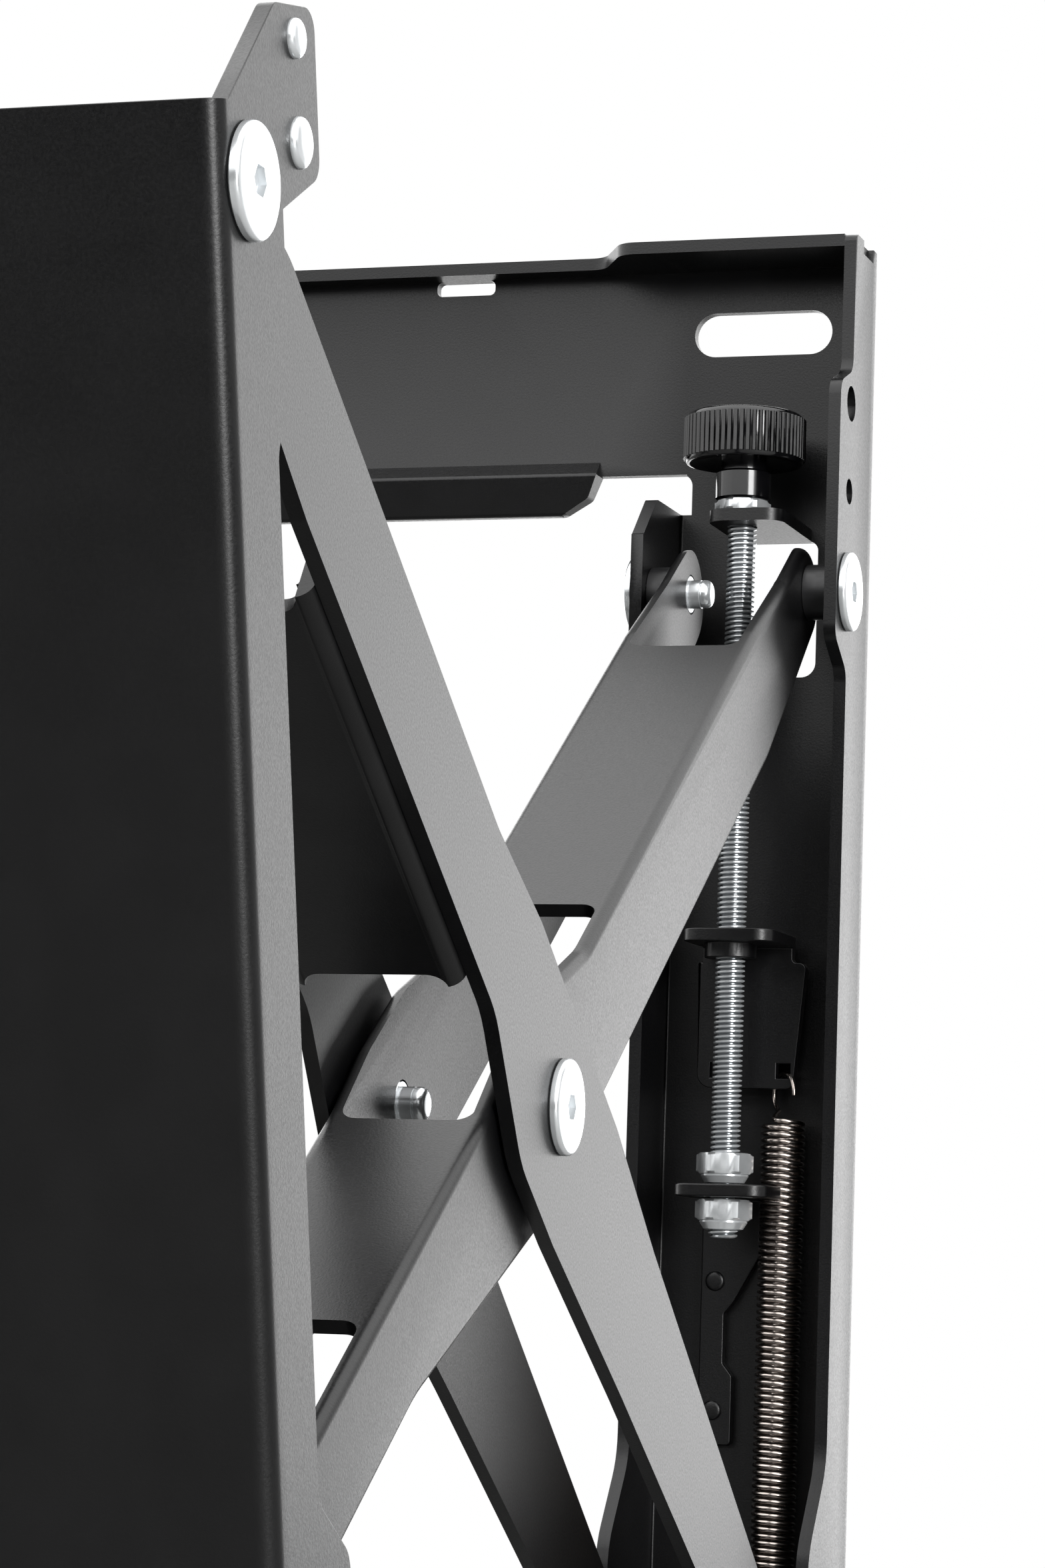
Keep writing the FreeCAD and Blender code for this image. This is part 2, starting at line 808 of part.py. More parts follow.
# Heads of the two hook pins riveted into the ear
def ear_pins():
    x0 = rail_width / 2
    return [cylinder(vec(x0, place[0], place[1]), X_AXIS, radius, ear_pin_height)
            for place, radius in ((upper_ear_pin, upper_ear_pin_radius),
                                  (lower_ear_pin, lower_ear_pin_radius))]


def front_cross_rail(z0, z1):
    x_end = rail_x - rail_width / 2
    y0 = -front_face_ahead
    web = box(-x_end, x_end, y0, y0 + sheet, z0, z1)
    edge_z = z1 if z1 > 0 else z0
    low = edge_z - sheet if z1 > 0 else edge_z
    flange = box(-x_end, x_end, y0, y0 + front_cross_depth, low, low + sheet)
    other = z0 if z1 > 0 else z1 - sheet
    lip = box(-x_end + front_lip_inset, x_end - front_lip_inset, y0, y0 + front_lip_depth,
              other, other + sheet)
    rail = fuse([web, flange, lip])
    # room for the inner heads of the pivot bolts
    reliefs = []
    for x0 in (-x_end - 1, x_end - head_height - head_room):
        reliefs.append(cylinder(vec(x0, 0, 0), X_AXIS, head_radius + head_room,
                                head_height + head_room + 1))
    return cut(rail, reliefs)


def display_holes(z):
    return [cylinder(vec(s * display_hole_spacing / 2, -front_face_ahead - 1, z), Y_AXIS,
                     display_hole_radius, sheet + 2) for s in (-1, 1)]


def knob():
    z1 = pivot_z + knob_top_above
    z0 = z1 - knob_height
    y = -rod_from_wall
    points = []
    for i in range(knob_teeth):
        for share, radius in ((0.0, knob_radius), (0.3, knob_radius),
                              (0.5, knob_radius - tooth_depth), (0.8, knob_radius - tooth_depth)):
            angle = 2 * math.pi * (i + share) / knob_teeth
            points.append(vec(rod_x + radius * math.cos(angle), y + radius * math.sin(angle), z0))
    points.append(points[0])
    body = Part.Face(Part.makePolygon(points)).extrude(vec(0, 0, knob_height))
    edge = knob_edge
    envelope = fuse([
        Part.makeCone(knob_radius - edge, knob_radius + 0.2, edge, vec(rod_x, y, z0), Z_AXIS),
        cylinder(vec(rod_x, y, z0 + edge), Z_AXIS, knob_radius + 0.2, knob_height - 2 * edge),
        Part.makeCone(knob_radius + 0.2, knob_radius - edge, edge,
                      vec(rod_x, y, z1 - edge), Z_AXIS),
    ])
    body = body.common(envelope)
    collar_top = z0 - collar_gap
    neck = cylinder(vec(rod_x, y, collar_top), Z_AXIS, collar_radius - 1.0, collar_gap + 1)
    collar = cylinder(vec(rod_x, y, collar_top - collar_height), Z_AXIS, collar_radius,
                      collar_height)
    bore = cylinder(vec(rod_x, y, z0 - 20), Z_AXIS, rod_radius,
                    rod_top_above + pivot_z - z0 + 20)
    return fuse([body, neck, collar]).cut(bore)


def hexagon_z(x, y, z0, height, flats):
    radius = flats / math.sqrt(3)
    points = []
    for i in range(7):
        angle = rad(60 * i + 12)
        points.append(vec(x + radius * math.cos(angle), y + radius * math.sin(angle), z0))
    body = Part.Face(Part.makePolygon(points)).extrude(vec(0, 0, height))
    slope = radius - flats / 2 + nut_chamfer
    cone_low = Part.makeCone(flats / 2 - nut_chamfer * 0.2, radius, slope * 0.5,
                             vec(x, y, z0), Z_AXIS)
    middle = cylinder(vec(x, y, z0 + slope * 0.5), Z_AXIS, radius, height - slope)
    cone_high = Part.makeCone(radius, flats / 2 - nut_chamfer * 0.2, slope * 0.5,
                              vec(x, y, z0 + height - slope * 0.5), Z_AXIS)
    return body.common(fuse([cone_low, middle, cone_high]))


def nut(z0, height):
    x = rod_x
    y = -rod_from_wall
    body = hexagon_z(x, y, z0, height, nut_flats)
    return body.cut(cylinder(vec(x, y, z0 - 1), Z_AXIS, rod_radius, height + 2))


# Lock nut with its nylon ring downwards
def lock_nut(z0):
    x = rod_x
    y = -rod_from_wall
    body = hexagon_z(x, y, z0 + lock_ring_height, lock_nut_height, nut_flats)
    ring = cylinder(vec(x, y, z0), Z_AXIS, lock_ring_radius, lock_ring_height)
    whole = fuse([body, ring])
    return whole.cut(cylinder(vec(x, y, z0 - 1), Z_AXIS, rod_radius,
                              lock_nut_height + lock_ring_height + 2))


def threaded_rod():
    z0 = pivot_z - rod_bottom_below
    z1 = pivot_z + rod_top_above
    rod = cylinder(vec(rod_x, -rod_from_wall, z0), Z_AXIS, rod_radius, z1 - z0)
    ends = [e for e in rod.Edges if e.BoundBox.ZLength < 0.001]
    return rod.makeChamfer(0.5, ends)


# Bracket under the rod: a tab that bears it and a stepped leg riveted to the rail's web
def rod_foot():
    z1 = pivot_z - foot_top_below
    x = rail_x
    back = -sheet
    w = foot_half_width
    # the tab's right side stays clear of the spring behind it
    spring_edge = x + spring_side - spring_radius - foot_clear_of_spring
    spring_front = -spring_from_wall - spring_radius - foot_clear_of_spring
    tab = flat_plate([
        (x - w, back, 0),
        (spring_edge, back, 0),
        (spring_edge, spring_front, 1),
        (x + w, spring_front, 1),
        (x + w, -foot_reach, tab_rounding),
        (x - w, -foot_reach, tab_rounding),
    ], z1 - sheet, z1)
    bottom = z1 - foot_leg_length
    leg = face_plate([
        (x - w, z1, 0),
        (spring_edge, z1, 0),
        (spring_edge, z1 - foot_shoulder_drop, 2),
        (x - foot_leg_side, z1 - foot_waist_top, 2),
        (x - foot_waist_side, z1 - foot_waist_top - foot_waist_run, 1),
        (x - foot_waist_side, z1 - foot_waist_low + foot_waist_run, 1),
        (x - foot_leg_side, z1 - foot_waist_low, 1),
        (x - foot_leg_side, bottom, 1),
        (x - w, bottom, 1),
    ], back - sheet, back)
    bore = cylinder(vec(rod_x, -rod_from_wall, z1 - 2 * sheet), Z_AXIS, rod_radius + rod_fit,
                    3 * sheet)
    return fuse([tab, leg]).cut(bore)


def foot_rivets():
    z1 = pivot_z - foot_top_below
    rivets = []
    for drop in foot_rivet_drops:
        rivets.append(cylinder(vec(rail_x - foot_rivet_side, -2 * sheet, z1 - drop),
                               vec(0, -1, 0), foot_rivet_radius, foot_rivet_height))
    return rivets


# Carriage on the rod: threaded plate with a bush under it, and a skirt that holds the spring
def carriage():
    z1 = pivot_z - carriage_top_below
    x = rail_x
    back = -carriage_from_wall
    plate = flat_plate([
        (x - carriage_half_width, back, 0),
        (x + carriage_half_width, back, 0),
        (x + carriage_half_width, -carriage_reach, tab_rounding),
        (x - carriage_half_width, -carriage_reach, tab_rounding),
    ], z1 - sheet, z1)
    z0 = z1 - carriage_skirt
    skirt = face_plate([
        (x - carriage_half_width, z1, 0),
        (x + carriage_half_width, z1, 0),
        (x + carriage_half_width, z1 - carriage_skirt_step, 1),
        (x + carriage_skirt_right, z1 - carriage_skirt_step, 1.5),
        (x + carriage_skirt_low, z0, 1.5),
        (x - carriage_skirt_left, z0, 3),
        (x - carriage_skirt_left, z1 - carriage_skirt_step, 1),
        (x - carriage_half_width, z1 - carriage_skirt_step, 0),
    ], back - sheet, back)
    bush = cylinder(vec(rod_x, -rod_from_wall, z1 - sheet - carriage_bush_height), Z_AXIS,
                    carriage_bush_radius, carriage_bush_height)
    body = fuse([plate, skirt, bush])
    bore = cylinder(vec(rod_x, -rod_from_wall, z1 - 20), Z_AXIS, rod_radius + pivot_fit, 30)
    s = hook_hole_side / 2
    holes = [bore]
    for hole_x in (x - carriage_skirt_left + 4.2, x + spring_side):
        hole_z = z0 + hook_hole_up
        holes.append(box(hole_x - s, hole_x + s, back - sheet - 1, back + 1,
                         hole_z - s, hole_z + s))
    return cut(body, holes)


# Extension spring with its eyes, one unbroken round wire
def spring():
    x = rail_x + spring_side
    y = -spring_from_wall
    r = spring_radius - spring_wire / 2
    top = pivot_z - spring_top_below
    bottom = slide_open_z + spring_above_slide
    pitch = (top - bottom) / spring_turns
    hook_z = pivot_z - carriage_top_below - carriage_skirt + hook_hole_up
    lug_z = slide_open_z + lug_top - hook_hole_up
    points = []
    quarter = 4
    for i in range(spring_turns * quarter + 1):
        angle = math.pi / 2 * i
        points.append(vec(x + r * math.cos(angle), y + r * math.sin(angle),
                          top - pitch * i / quarter))
    edges = []
    for i in range(len(points) - 1):
        edges += biarc(points[i], tangent(x, y, points[i], pitch),
                       points[i + 1], tangent(x, y, points[i + 1], pitch))
    head = eye(points[0], tangent(x, y, points[0], pitch) * -1, vec(x, y, top), hook_z, 1)
    tail = eye(points[-1], tangent(x, y, points[-1], pitch), vec(x, y, bottom), lug_z, -1)
    path = [e for e in reversed(head)] + edges + tail
    wire = Part.Wire(Part.__sortEdges__(path))
    print("spring: turns", spring_turns, "pitch", round(pitch, 3),
          "least gap", round(least_gap(wire, 2 * math.pi * r), 3))
    first = wire.Edges[0]
    start = first.valueAt(first.FirstParameter)
    direction = first.tangentAt(first.FirstParameter)
    circle = Part.Wire(Part.Circle(start, direction, spring_wire / 2).toShape())
    shell = wire.makePipeShell([circle], True, False)
    return Part.Solid(shell) if shell.ShapeType != "Solid" else shell


def tangent(x, y, p, pitch):
    r = math.hypot(p.x - x, p.y - y)
    run = 2 * math.pi * r
    t = vec(-(p.y - y) / r * run, (p.x - x) / r * run, -pitch)
    t.normalize()
    return t


# Two arcs that leave p0 along t0 and arrive at p1 along t1
def biarc(p0, t0, p1, t1):
    v = p1 - p0
    t = t0 + t1
    a = 2 * (1 - t0.dot(t1))
    if abs(a) < 1e-9:
        d = v.dot(v) / (4 * v.dot(t1))
    else:
        b = v.dot(t)
        d = (-b + math.sqrt(b * b + a * v.dot(v))) / a
    mid = (p0 + p1 + (t0 - t1) * d) * 0.5
    return [arc_from(p0, t0, mid), arc_from(p1, t1 * -1, mid)]


# The arc that leaves start along direction and ends at stop, or a line if it is straight
def arc_from(start, direction, stop):
    chord = stop - start
    length = chord.Length
    side = direction.cross(chord)
    if side.Length < 1e-6 * length:
        return Part.LineSegment(start, stop).toShape()
    normal = side.cross(direction)
    normal.normalize()
    radius = chord.dot(chord) / (2 * chord.dot(normal))
    centre = start + normal * radius
    bisector = (start + stop) * 0.5 - centre
    if bisector.Length < 1e-6:
        bisector = direction * 1
    bisector.normalize()
    if chord.dot(direction) < 0:
        bisector = bisector * -1
    return Part.Arc(start, centre + bisector * radius, stop).toShape()


# The end hook: an open ring that leaves the last turn, rises behind the plate, passes
# through its hole and comes down in front
def eye(p, t, axis, hole_z, up):
    s = 1 if up > 0 else -1
    swing = rad(hook_swing)
    across = vec(math.sin(swing), math.cos(swing), 0)
    rise = vec(0, 0, s)
    inner = hook_radius - spring_wire / 2
    half_sheet = sheet / 2 / math.cos(swing)
    ring_z = hole_z - s * (hook_hole_side / 2 - hook_play + math.sqrt(inner ** 2 - half_sheet ** 2))
    centre = vec(axis.x, axis.y, ring_z)

    def at(angle):
        return centre + (across * math.sin(angle) - rise * math.cos(angle)) * hook_radius

    start = at(hook_start)
    heading = across * math.cos(hook_start) + rise * math.sin(hook_start)
    stop = 2 * math.pi - hook_open
    middle = (hook_start + stop) / 2
    edges = biarc(p, t, start, heading)
    edges.append(Part.Arc(start, at((hook_start + middle) / 2), at(middle)).toShape())
    edges.append(Part.Arc(at(middle), at((middle + stop) / 2), at(stop)).toShape())
    return edges


# Least gap between turns, from points along the wire and those about one turn further on
def least_gap(wire, turn_length):
    points = wire.discretize(Distance=least_gap_step)
    near = int(turn_length * 0.6 / least_gap_step)
    far = int(turn_length * 1.4 / least_gap_step)
    least = turn_length
    for i in range(len(points)):
        for other in points[i + near:i + far]:
            least = min(least, points[i].distanceToPoint(other) - spring_wire)
    return least


# Block on the lower wall axle that stays upright and takes the spring's lower eye
def slide_block():
    x = rail_x
    y = pivot_y
    z = slide_open_z
    block = box(x - block_half_width, x + block_half_width, y - block_half_depth,
                y + block_half_depth, z - block_half_height, z + block_half_height)
    edges = [e for e in block.Edges if e.BoundBox.XLength > block_half_width]
    block = block.makeFillet(2.5, edges)
    lug_back = -carriage_from_wall
    lug = face_plate([
        (x - block_half_width, z - block_half_height + 2, 2),
        (x + spring_side + lug_side, z - block_half_height + 2, 2),
        (x + spring_side + lug_side, z + lug_top, 2),
        (x + spring_side - lug_side, z + lug_top, 2),
        (x + spring_side - lug_side - 2, z + block_half_height - 2, 2),
        (x - block_half_width, z + block_half_height - 2, 2),
    ], lug_back - sheet, lug_back)
    s = hook_hole_side / 2
    hole_x = x + spring_side
    hole_z = z + lug_top - hook_hole_up
    hole = box(hole_x - s, hole_x + s, lug_back - sheet - 1, lug_back + 1,
               hole_z - s, hole_z + s)
    bridge = box(x - block_half_width, x + block_half_width, y + block_half_depth - 1,
                 lug_back - sheet / 2, z - block_half_height + 3, z + block_half_height - 3)
    bore = cylinder(vec(x - 50, y, z), X_AXIS, pivot_radius + pivot_fit, 100)
    return cut(fuse([block, bridge, lug]), [bore, hole])


def axle(half_length, x_mid, y, z):
    body = cylinder(vec(x_mid - half_length, y, z), X_AXIS, pivot_radius, 2 * half_length)
    heads = []
    for s in (-1, 1):
        head = cylinder(vec(x_mid + s * half_length, y, z), vec(s, 0, 0), head_radius - 2,
                        head_height)
        heads.append(head)
    return fuse([body] + heads)


nodes = {}


def both_sides(name, make):
    shape = make()
    nodes[name + "_right"] = shape
    nodes[name + "_left"] = mirrored(shape)


def lean_front(shape):
    return hang(shape, 0, front_y, front_z, front_lean)


def make_wall_frame():
    both_sides("wall_rail", wall_rail)
    nodes["wall_top_rail"] = wall_cross_rail(True)
    nodes["wall_bottom_rail"] = wall_cross_rail(False)
    both_sides("rod_foot", rod_foot)
    both_sides("foot_rivets", lambda: Part.Compound(foot_rivets()))
    both_sides("wall_pivot_bolts", lambda: Part.Compound(bolt_pair(
        rail_x, (rail_width / 2, rail_width / 2),
        (inner_half - sheet - dome_length, inner_half - sheet - dome_length), pivot_y, pivot_z)))
    both_sides("wall_pivot_spacers", lambda: Part.Compound(spacer_pair(
        rail_x, inner_half, rail_inner, pivot_y, pivot_z)))


def make_arms():
    end = upper_half + inner_lower_half
    both_sides("inner_arm", lambda: hang(
        arm_bores(inner_arm(), (0, upper_half, end)), rail_x, pivot_y, pivot_z, -open_angle))
    both_sides("outer_arm", lambda: hang(
        arm_bores(outer_arm(), (0, upper_half, upper_half + outer_lower_half)),
        rail_x, front_y, front_z, open_angle))
    both_sides("mid_pivot_bolts", lambda: Part.Compound(bolt_pair(
        rail_x, (outer_half, outer_half),
        (inner_half - sheet - dome_length, inner_half - sheet - dome_length), mid_y, mid_z)))
    both_sides("wall_slide_axle", lambda: axle(
        rail_width / 2 + seat_gap, rail_x, pivot_y, slide_open_z))
    low_y = pivot_y - end * sin_open
    low_z = pivot_z - end * cos_open
    both_sides("front_slide_axle", lambda: axle(
        rail_width / 2 + seat_gap, rail_x, low_y, low_z))
    both_sides("wall_slide_spacers", lambda: Part.Compound(spacer_pair(
        rail_x, outer_half, rail_inner, pivot_y, slide_open_z)))
    both_sides("front_slide_spacers", lambda: Part.Compound(spacer_pair(
        rail_x, inner_half, rail_inner, low_y, low_z)))


def make_front_frame():
    both_sides("front_rail", lambda: lean_front(moved(front_rail(), rail_x)))
    top = front_cross_rail(front_above_pivot - front_cross_height, front_above_pivot)
    low = front_cross_rail(-front_below_pivot, -front_below_pivot + front_cross_height)
    top_hole = -display_hole_below
    low_hole = top_hole - display_hole_spacing
    nodes["front_top_rail"] = lean_front(cut(top, display_holes(top_hole)))
    nodes["front_bottom_rail"] = lean_front(cut(low, display_holes(low_hole)))
    both_sides("ear_pins", lambda: lean_front(Part.Compound(
        [moved(pin, rail_x) for pin in ear_pins()])))
    both_sides("front_pivot_bolts", lambda: Part.Compound(bolt_pair(
        rail_x, (rail_width / 2, rail_width / 2),
        (outer_half - sheet - dome_length, outer_half - sheet - dome_length),
        front_y, front_z)))
    both_sides("front_pivot_spacers", lambda: Part.Compound(spacer_pair(
        rail_x, outer_half, rail_inner, front_y, front_z)))


def make_adjusters():
    both_sides("adjusting_knob", knob)
    both_sides("threaded_rod", threaded_rod)
    collar_low = pivot_z + knob_top_above - knob_height - collar_gap - collar_height
    tab_low = pivot_z - foot_top_below
    both_sides("jam_nut", lambda: nut(collar_low - jam_nut_height, jam_nut_height))
    both_sides("lock_nuts", lambda: Part.Compound([
        lock_nut(tab_low + seat_gap),
        lock_nut(tab_low - sheet - seat_gap - lock_nut_height - lock_ring_height)]))
    both_sides("spring_carriage", carriage)
    both_sides("spring", spring)
    both_sides("slide_block", slide_block)


make_wall_frame()
make_arms()
make_front_frame()
make_adjusters()

os.makedirs("parts", exist_ok=True)
for name, shape in nodes.items():
    shape.exportStep("parts/" + name + ".step")
    print(name, "solids", len(shape.Solids), "valid", shape.isValid(),
          "volume", round(sum(s.Volume for s in shape.Solids), 1))
print("nodes", len(nodes))
print("wall pivot", rail_x, pivot_y, pivot_z)
print("mid pivot", rail_x, round(mid_y, 4), round(mid_z, 4))
print("front pivot", rail_x, round(front_y, 4), front_z)
print("slide axle z open, closed", round(slide_open_z, 4), round(slide_closed_z, 4))
print("fold range", round(fold_range, 4), "lean ratio", round(front_lean / fold_range, 6))
print("carriage travel per radian of the knob", round(thread_pitch / (2 * math.pi), 6))
print("slide path depth and length",
      [tuple(round(v, 2) for v in slide_path(i / 4)) for i in range(5)])
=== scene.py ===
import math
import bmesh
import bpy
from mathutils import Matrix, Vector


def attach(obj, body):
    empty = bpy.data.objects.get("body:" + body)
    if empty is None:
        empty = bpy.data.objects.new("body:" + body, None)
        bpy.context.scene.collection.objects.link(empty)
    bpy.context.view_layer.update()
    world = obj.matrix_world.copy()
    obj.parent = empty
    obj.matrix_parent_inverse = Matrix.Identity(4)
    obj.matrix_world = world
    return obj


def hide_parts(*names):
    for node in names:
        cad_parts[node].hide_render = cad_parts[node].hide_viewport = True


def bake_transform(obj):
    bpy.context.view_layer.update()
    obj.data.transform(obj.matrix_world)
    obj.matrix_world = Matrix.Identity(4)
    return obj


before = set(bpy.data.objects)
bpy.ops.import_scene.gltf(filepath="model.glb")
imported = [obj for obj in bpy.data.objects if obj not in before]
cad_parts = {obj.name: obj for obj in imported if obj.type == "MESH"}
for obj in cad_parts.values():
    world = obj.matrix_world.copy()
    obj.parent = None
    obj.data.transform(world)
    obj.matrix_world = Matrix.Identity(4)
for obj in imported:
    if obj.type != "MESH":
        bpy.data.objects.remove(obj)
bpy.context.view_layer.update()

# Pop-out wall mount for one screen, popped out: a wall frame, a leaning front frame, two
# sprung scissors between them and the knob-set spring carriages. Metres, wall face at Y 0.

mm = 0.001
touching = 1e-7  # points closer than this are one point, in metres
near = 1e-6  # how far a radius or a height may be off a named one and still count as it
sides = {"right": 1, "left": -1}
railX = 278.5 * mm
# The rod's sizes stand here because the zinc on its thread reads them too
rod = {"x": 277.5 * mm, "y": -20.5 * mm, "radius": 3.0 * mm, "root": 2.4 * mm,
       "pitch": 1.0 * mm, "bottom": 46 * mm, "top": 209 * mm, "around": 26, "chamfer": 0.6 * mm,
       "spareTurns": 2}
wallPivot = Vector((railX, -22 * mm, 176 * mm))
midPivot = Vector((railX, -190.2211 * mm, 63.8105 * mm))
frontPivot = Vector((railX, -358.4422 * mm, 176 * mm))
slideAxle = Vector((railX, -22 * mm, -48.3791 * mm))
frontSlide = Vector((railX, -305.031 * mm, -12.758 * mm))
frontLean = math.radians(12.6)
print("frame loaded:", len(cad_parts), "nodes")

# Camera: fitted to the pivots and the edges of the rails in the photograph
photo = {"focalPixels": 6766.45, "height": 2352, "sensor": 36.0, "yaw": 0.3086485,
         "pitch": 0.1148687, "roll": 0.0328898, "place": (0.51146, -0.89572, 0.03154)}


def aimCamera():
    yaw, pitch, roll = photo["yaw"], photo["pitch"], photo["roll"]
    forward = Vector((-math.sin(yaw) * math.cos(pitch), math.cos(yaw) * math.cos(pitch),
                      math.sin(pitch)))
    level = Vector((math.cos(yaw), math.sin(yaw), 0))
    rise = level.cross(forward)
    right = math.cos(roll) * level + math.sin(roll) * rise
    up = -math.sin(roll) * level + math.cos(roll) * rise
    lens = bpy.data.cameras.new("photoCamera")
    lens.sensor_width = photo["sensor"]
    lens.lens = photo["focalPixels"] * photo["sensor"] / photo["height"]
    lens.clip_start = 0.01
    lens.clip_end = 50
    camera = bpy.data.objects.new("photoCamera", lens)
    bpy.context.collection.objects.link(camera)
    turn = Matrix((right, up, -forward)).transposed().to_4x4()
    camera.matrix_world = Matrix.Translation(photo["place"]) @ turn
    bpy.context.scene.camera = camera


aimCamera()
print("camera placed")


# Small helpers for materials
def hexColour(code):
    channels = []
    for i in (1, 3, 5):
        value = int(code[i:i + 2], 16) / 255
        channels.append(value / 12.92 if value <= 0.04045 else ((value + 0.055) / 1.055) ** 2.4)
    return (*channels, 1)


def addNode(tree, kind, settings=None, links=None):
    node = tree.nodes.new(kind)
    for key, value in (settings or {}).items():
        if isinstance(key, str) and hasattr(node, key):
            setattr(node, key, value)
        else:
            node.inputs[key].default_value = value
    for key, socket in (links or {}).items():
        tree.links.new(socket, node.inputs[key])
    return node


def newMaterial(name):
    material = bpy.data.materials.new(name)
    material.use_nodes = True
    tree = material.node_tree
    shader = tree.nodes["Principled BSDF"]
    return material, tree, shader


# Fine-texture polyester powder coat on steel: near-black, dull seen square on, pale where it
# is seen at a low angle, with a grain of about 0.4 mm that stands 0.03 mm high
coat = {"dark": "#060607", "light": "#0c0c0d", "spread": (0.35, 0.65), "grain": 0.42,
        "grainDetail": 2.0, "grainRoughness": 0.6, "grainHeight": 0.03, "grainStrength": 0.7,
        "patch": 14.0, "patchDetail": 3.0, "roughLow": 0.28, "roughHigh": 0.38, "ior": 1.4}
noiseSpan = {"From Min": 0.3, "From Max": 0.7}  # where most of a noise's values lie


def makePowderCoat():
    material, tree, shader = newMaterial("texturedPowderCoat")
    place = addNode(tree, "ShaderNodeTexCoord").outputs["Object"]
    grain = addNode(tree, "ShaderNodeTexNoise",
                    {"Scale": 1 / (coat["grain"] * mm), "Detail": coat["grainDetail"],
                     "Roughness": coat["grainRoughness"]}, {"Vector": place})
    patch = addNode(tree, "ShaderNodeTexNoise",
                    {"Scale": 1 / (coat["patch"] * mm), "Detail": coat["patchDetail"]},
                    {"Vector": place})
    ramp = addNode(tree, "ShaderNodeValToRGB", {}, {"Fac": patch.outputs["Fac"]})
    for stop, share, shade in zip(ramp.color_ramp.elements, coat["spread"], ("dark", "light")):
        stop.position = share
        stop.color = hexColour(coat[shade])
    rough = addNode(tree, "ShaderNodeMapRange",
                    {**noiseSpan, "To Min": coat["roughLow"], "To Max": coat["roughHigh"]},
                    {"Value": grain.outputs["Fac"]})
    bump = addNode(tree, "ShaderNodeBump",
                   {"Strength": coat["grainStrength"], "Distance": coat["grainHeight"] * mm},
                   {"Height": grain.outputs["Fac"]})
    shader.inputs["IOR"].default_value = coat["ior"]
    tree.links.new(ramp.outputs["Color"], shader.inputs["Base Color"])
    tree.links.new(rough.outputs["Result"], shader.inputs["Roughness"])
    tree.links.new(bump.outputs["Normal"], shader.inputs["Normal"])
    return material


# A surface whose shade, gloss and height all drift with one noise, as plate, moulding and oil
# do. Gives back the colour, which the caller links
def cloudSurface(tree, shader, look):
    place = addNode(tree, "ShaderNodeTexCoord").outputs["Object"]
    cloud = addNode(tree, "ShaderNodeTexNoise",
                    {"Scale": 1 / (look["patch"] * mm), "Detail": look["detail"]},
                    {"Vector": place})
    ramp = addNode(tree, "ShaderNodeValToRGB", {}, {"Fac": cloud.outputs["Fac"]})
    for stop, share, shade in zip(ramp.color_ramp.elements, look["spread"], ("dark", "light")):
        stop.position = share
        stop.color = hexColour(look[shade])
    rough = addNode(tree, "ShaderNodeMapRange",
                    {**noiseSpan, "To Min": look["roughLow"], "To Max": look["roughHigh"]},
                    {"Value": cloud.outputs["Fac"]})
    bump = addNode(tree, "ShaderNodeBump",
                   {"Strength": look["strength"], "Distance": look["waveHeight"] * mm},
                   {"Height": cloud.outputs["Fac"]})
    tree.links.new(rough.outputs["Result"], shader.inputs["Roughness"])
    tree.links.new(bump.outputs["Normal"], shader.inputs["Normal"])
    return ramp.outputs["Color"]


# Bright zinc plate on turned steel: pale silver, clouded over some 5 mm, with painted shade
# darkening a thread's root
zinc = {"dark": "#d8dbdd", "light": "#e3e6e8", "spread": (0.3, 0.7), "patch": 5.0, "detail": 4.0,
        "roughLow": 0.17, "roughHigh": 0.27, "waveHeight": 0.002, "strength": 0.5,
        "root": "#63676a", "rootAbove": 0.05, "crestBelow": 0.2, "metal": 0.6}


def makeZinc(name, threaded=False):
    material, tree, shader = newMaterial(name)
    shader.inputs["Metallic"].default_value = zinc["metal"]
    colour = cloudSurface(tree, shader, zinc)
    if threaded:
        # painted shade in the thread's root, darkest at the root and fading out to the crest: how
        # far out of the rod's axis counts
        place = addNode(tree, "ShaderNodeTexCoord").outputs["Object"]
        axes = addNode(tree, "ShaderNodeSeparateXYZ", {}, {"Vector": place})
        width = addNode(tree, "ShaderNodeMath", {"operation": "ABSOLUTE"}, {0: axes.outputs["X"]})
        shift = addNode(tree, "ShaderNodeMath", {"operation": "SUBTRACT", 1: rod["x"]},
                        {0: width.outputs["Value"]})
        deep = addNode(tree, "ShaderNodeMath", {"operation": "SUBTRACT", 1: rod["y"]},
                       {0: axes.outputs["Y"]})
        both = addNode(tree, "ShaderNodeCombineXYZ", {},
                       {"X": shift.outputs["Value"], "Y": deep.outputs["Value"]})
        out = addNode(tree, "ShaderNodeVectorMath", {"operation": "LENGTH"},
                      {0: both.outputs["Vector"]})
        share = addNode(tree, "ShaderNodeMapRange",
                        {"From Min": rod["root"] + zinc["rootAbove"] * mm,
                         "From Max": rod["radius"] - zinc["crestBelow"] * mm},
                        {"Value": out.outputs["Value"]})
        # a colour mix holds its colours in sockets 6 and 7 and gives its result at 2
        paintedRootShade = addNode(tree, "ShaderNodeMix", {"data_type": "RGBA"},
                       {0: share.outputs["Result"], 7: colour})
        # the root colour is painted shade standing in for the shadow in the thread's hollow
        paintedRootShade.inputs[6].default_value = hexColour(zinc["root"])
        colour = paintedRootShade.outputs[2]
    tree.links.new(colour, shader.inputs["Base Color"])
    return material


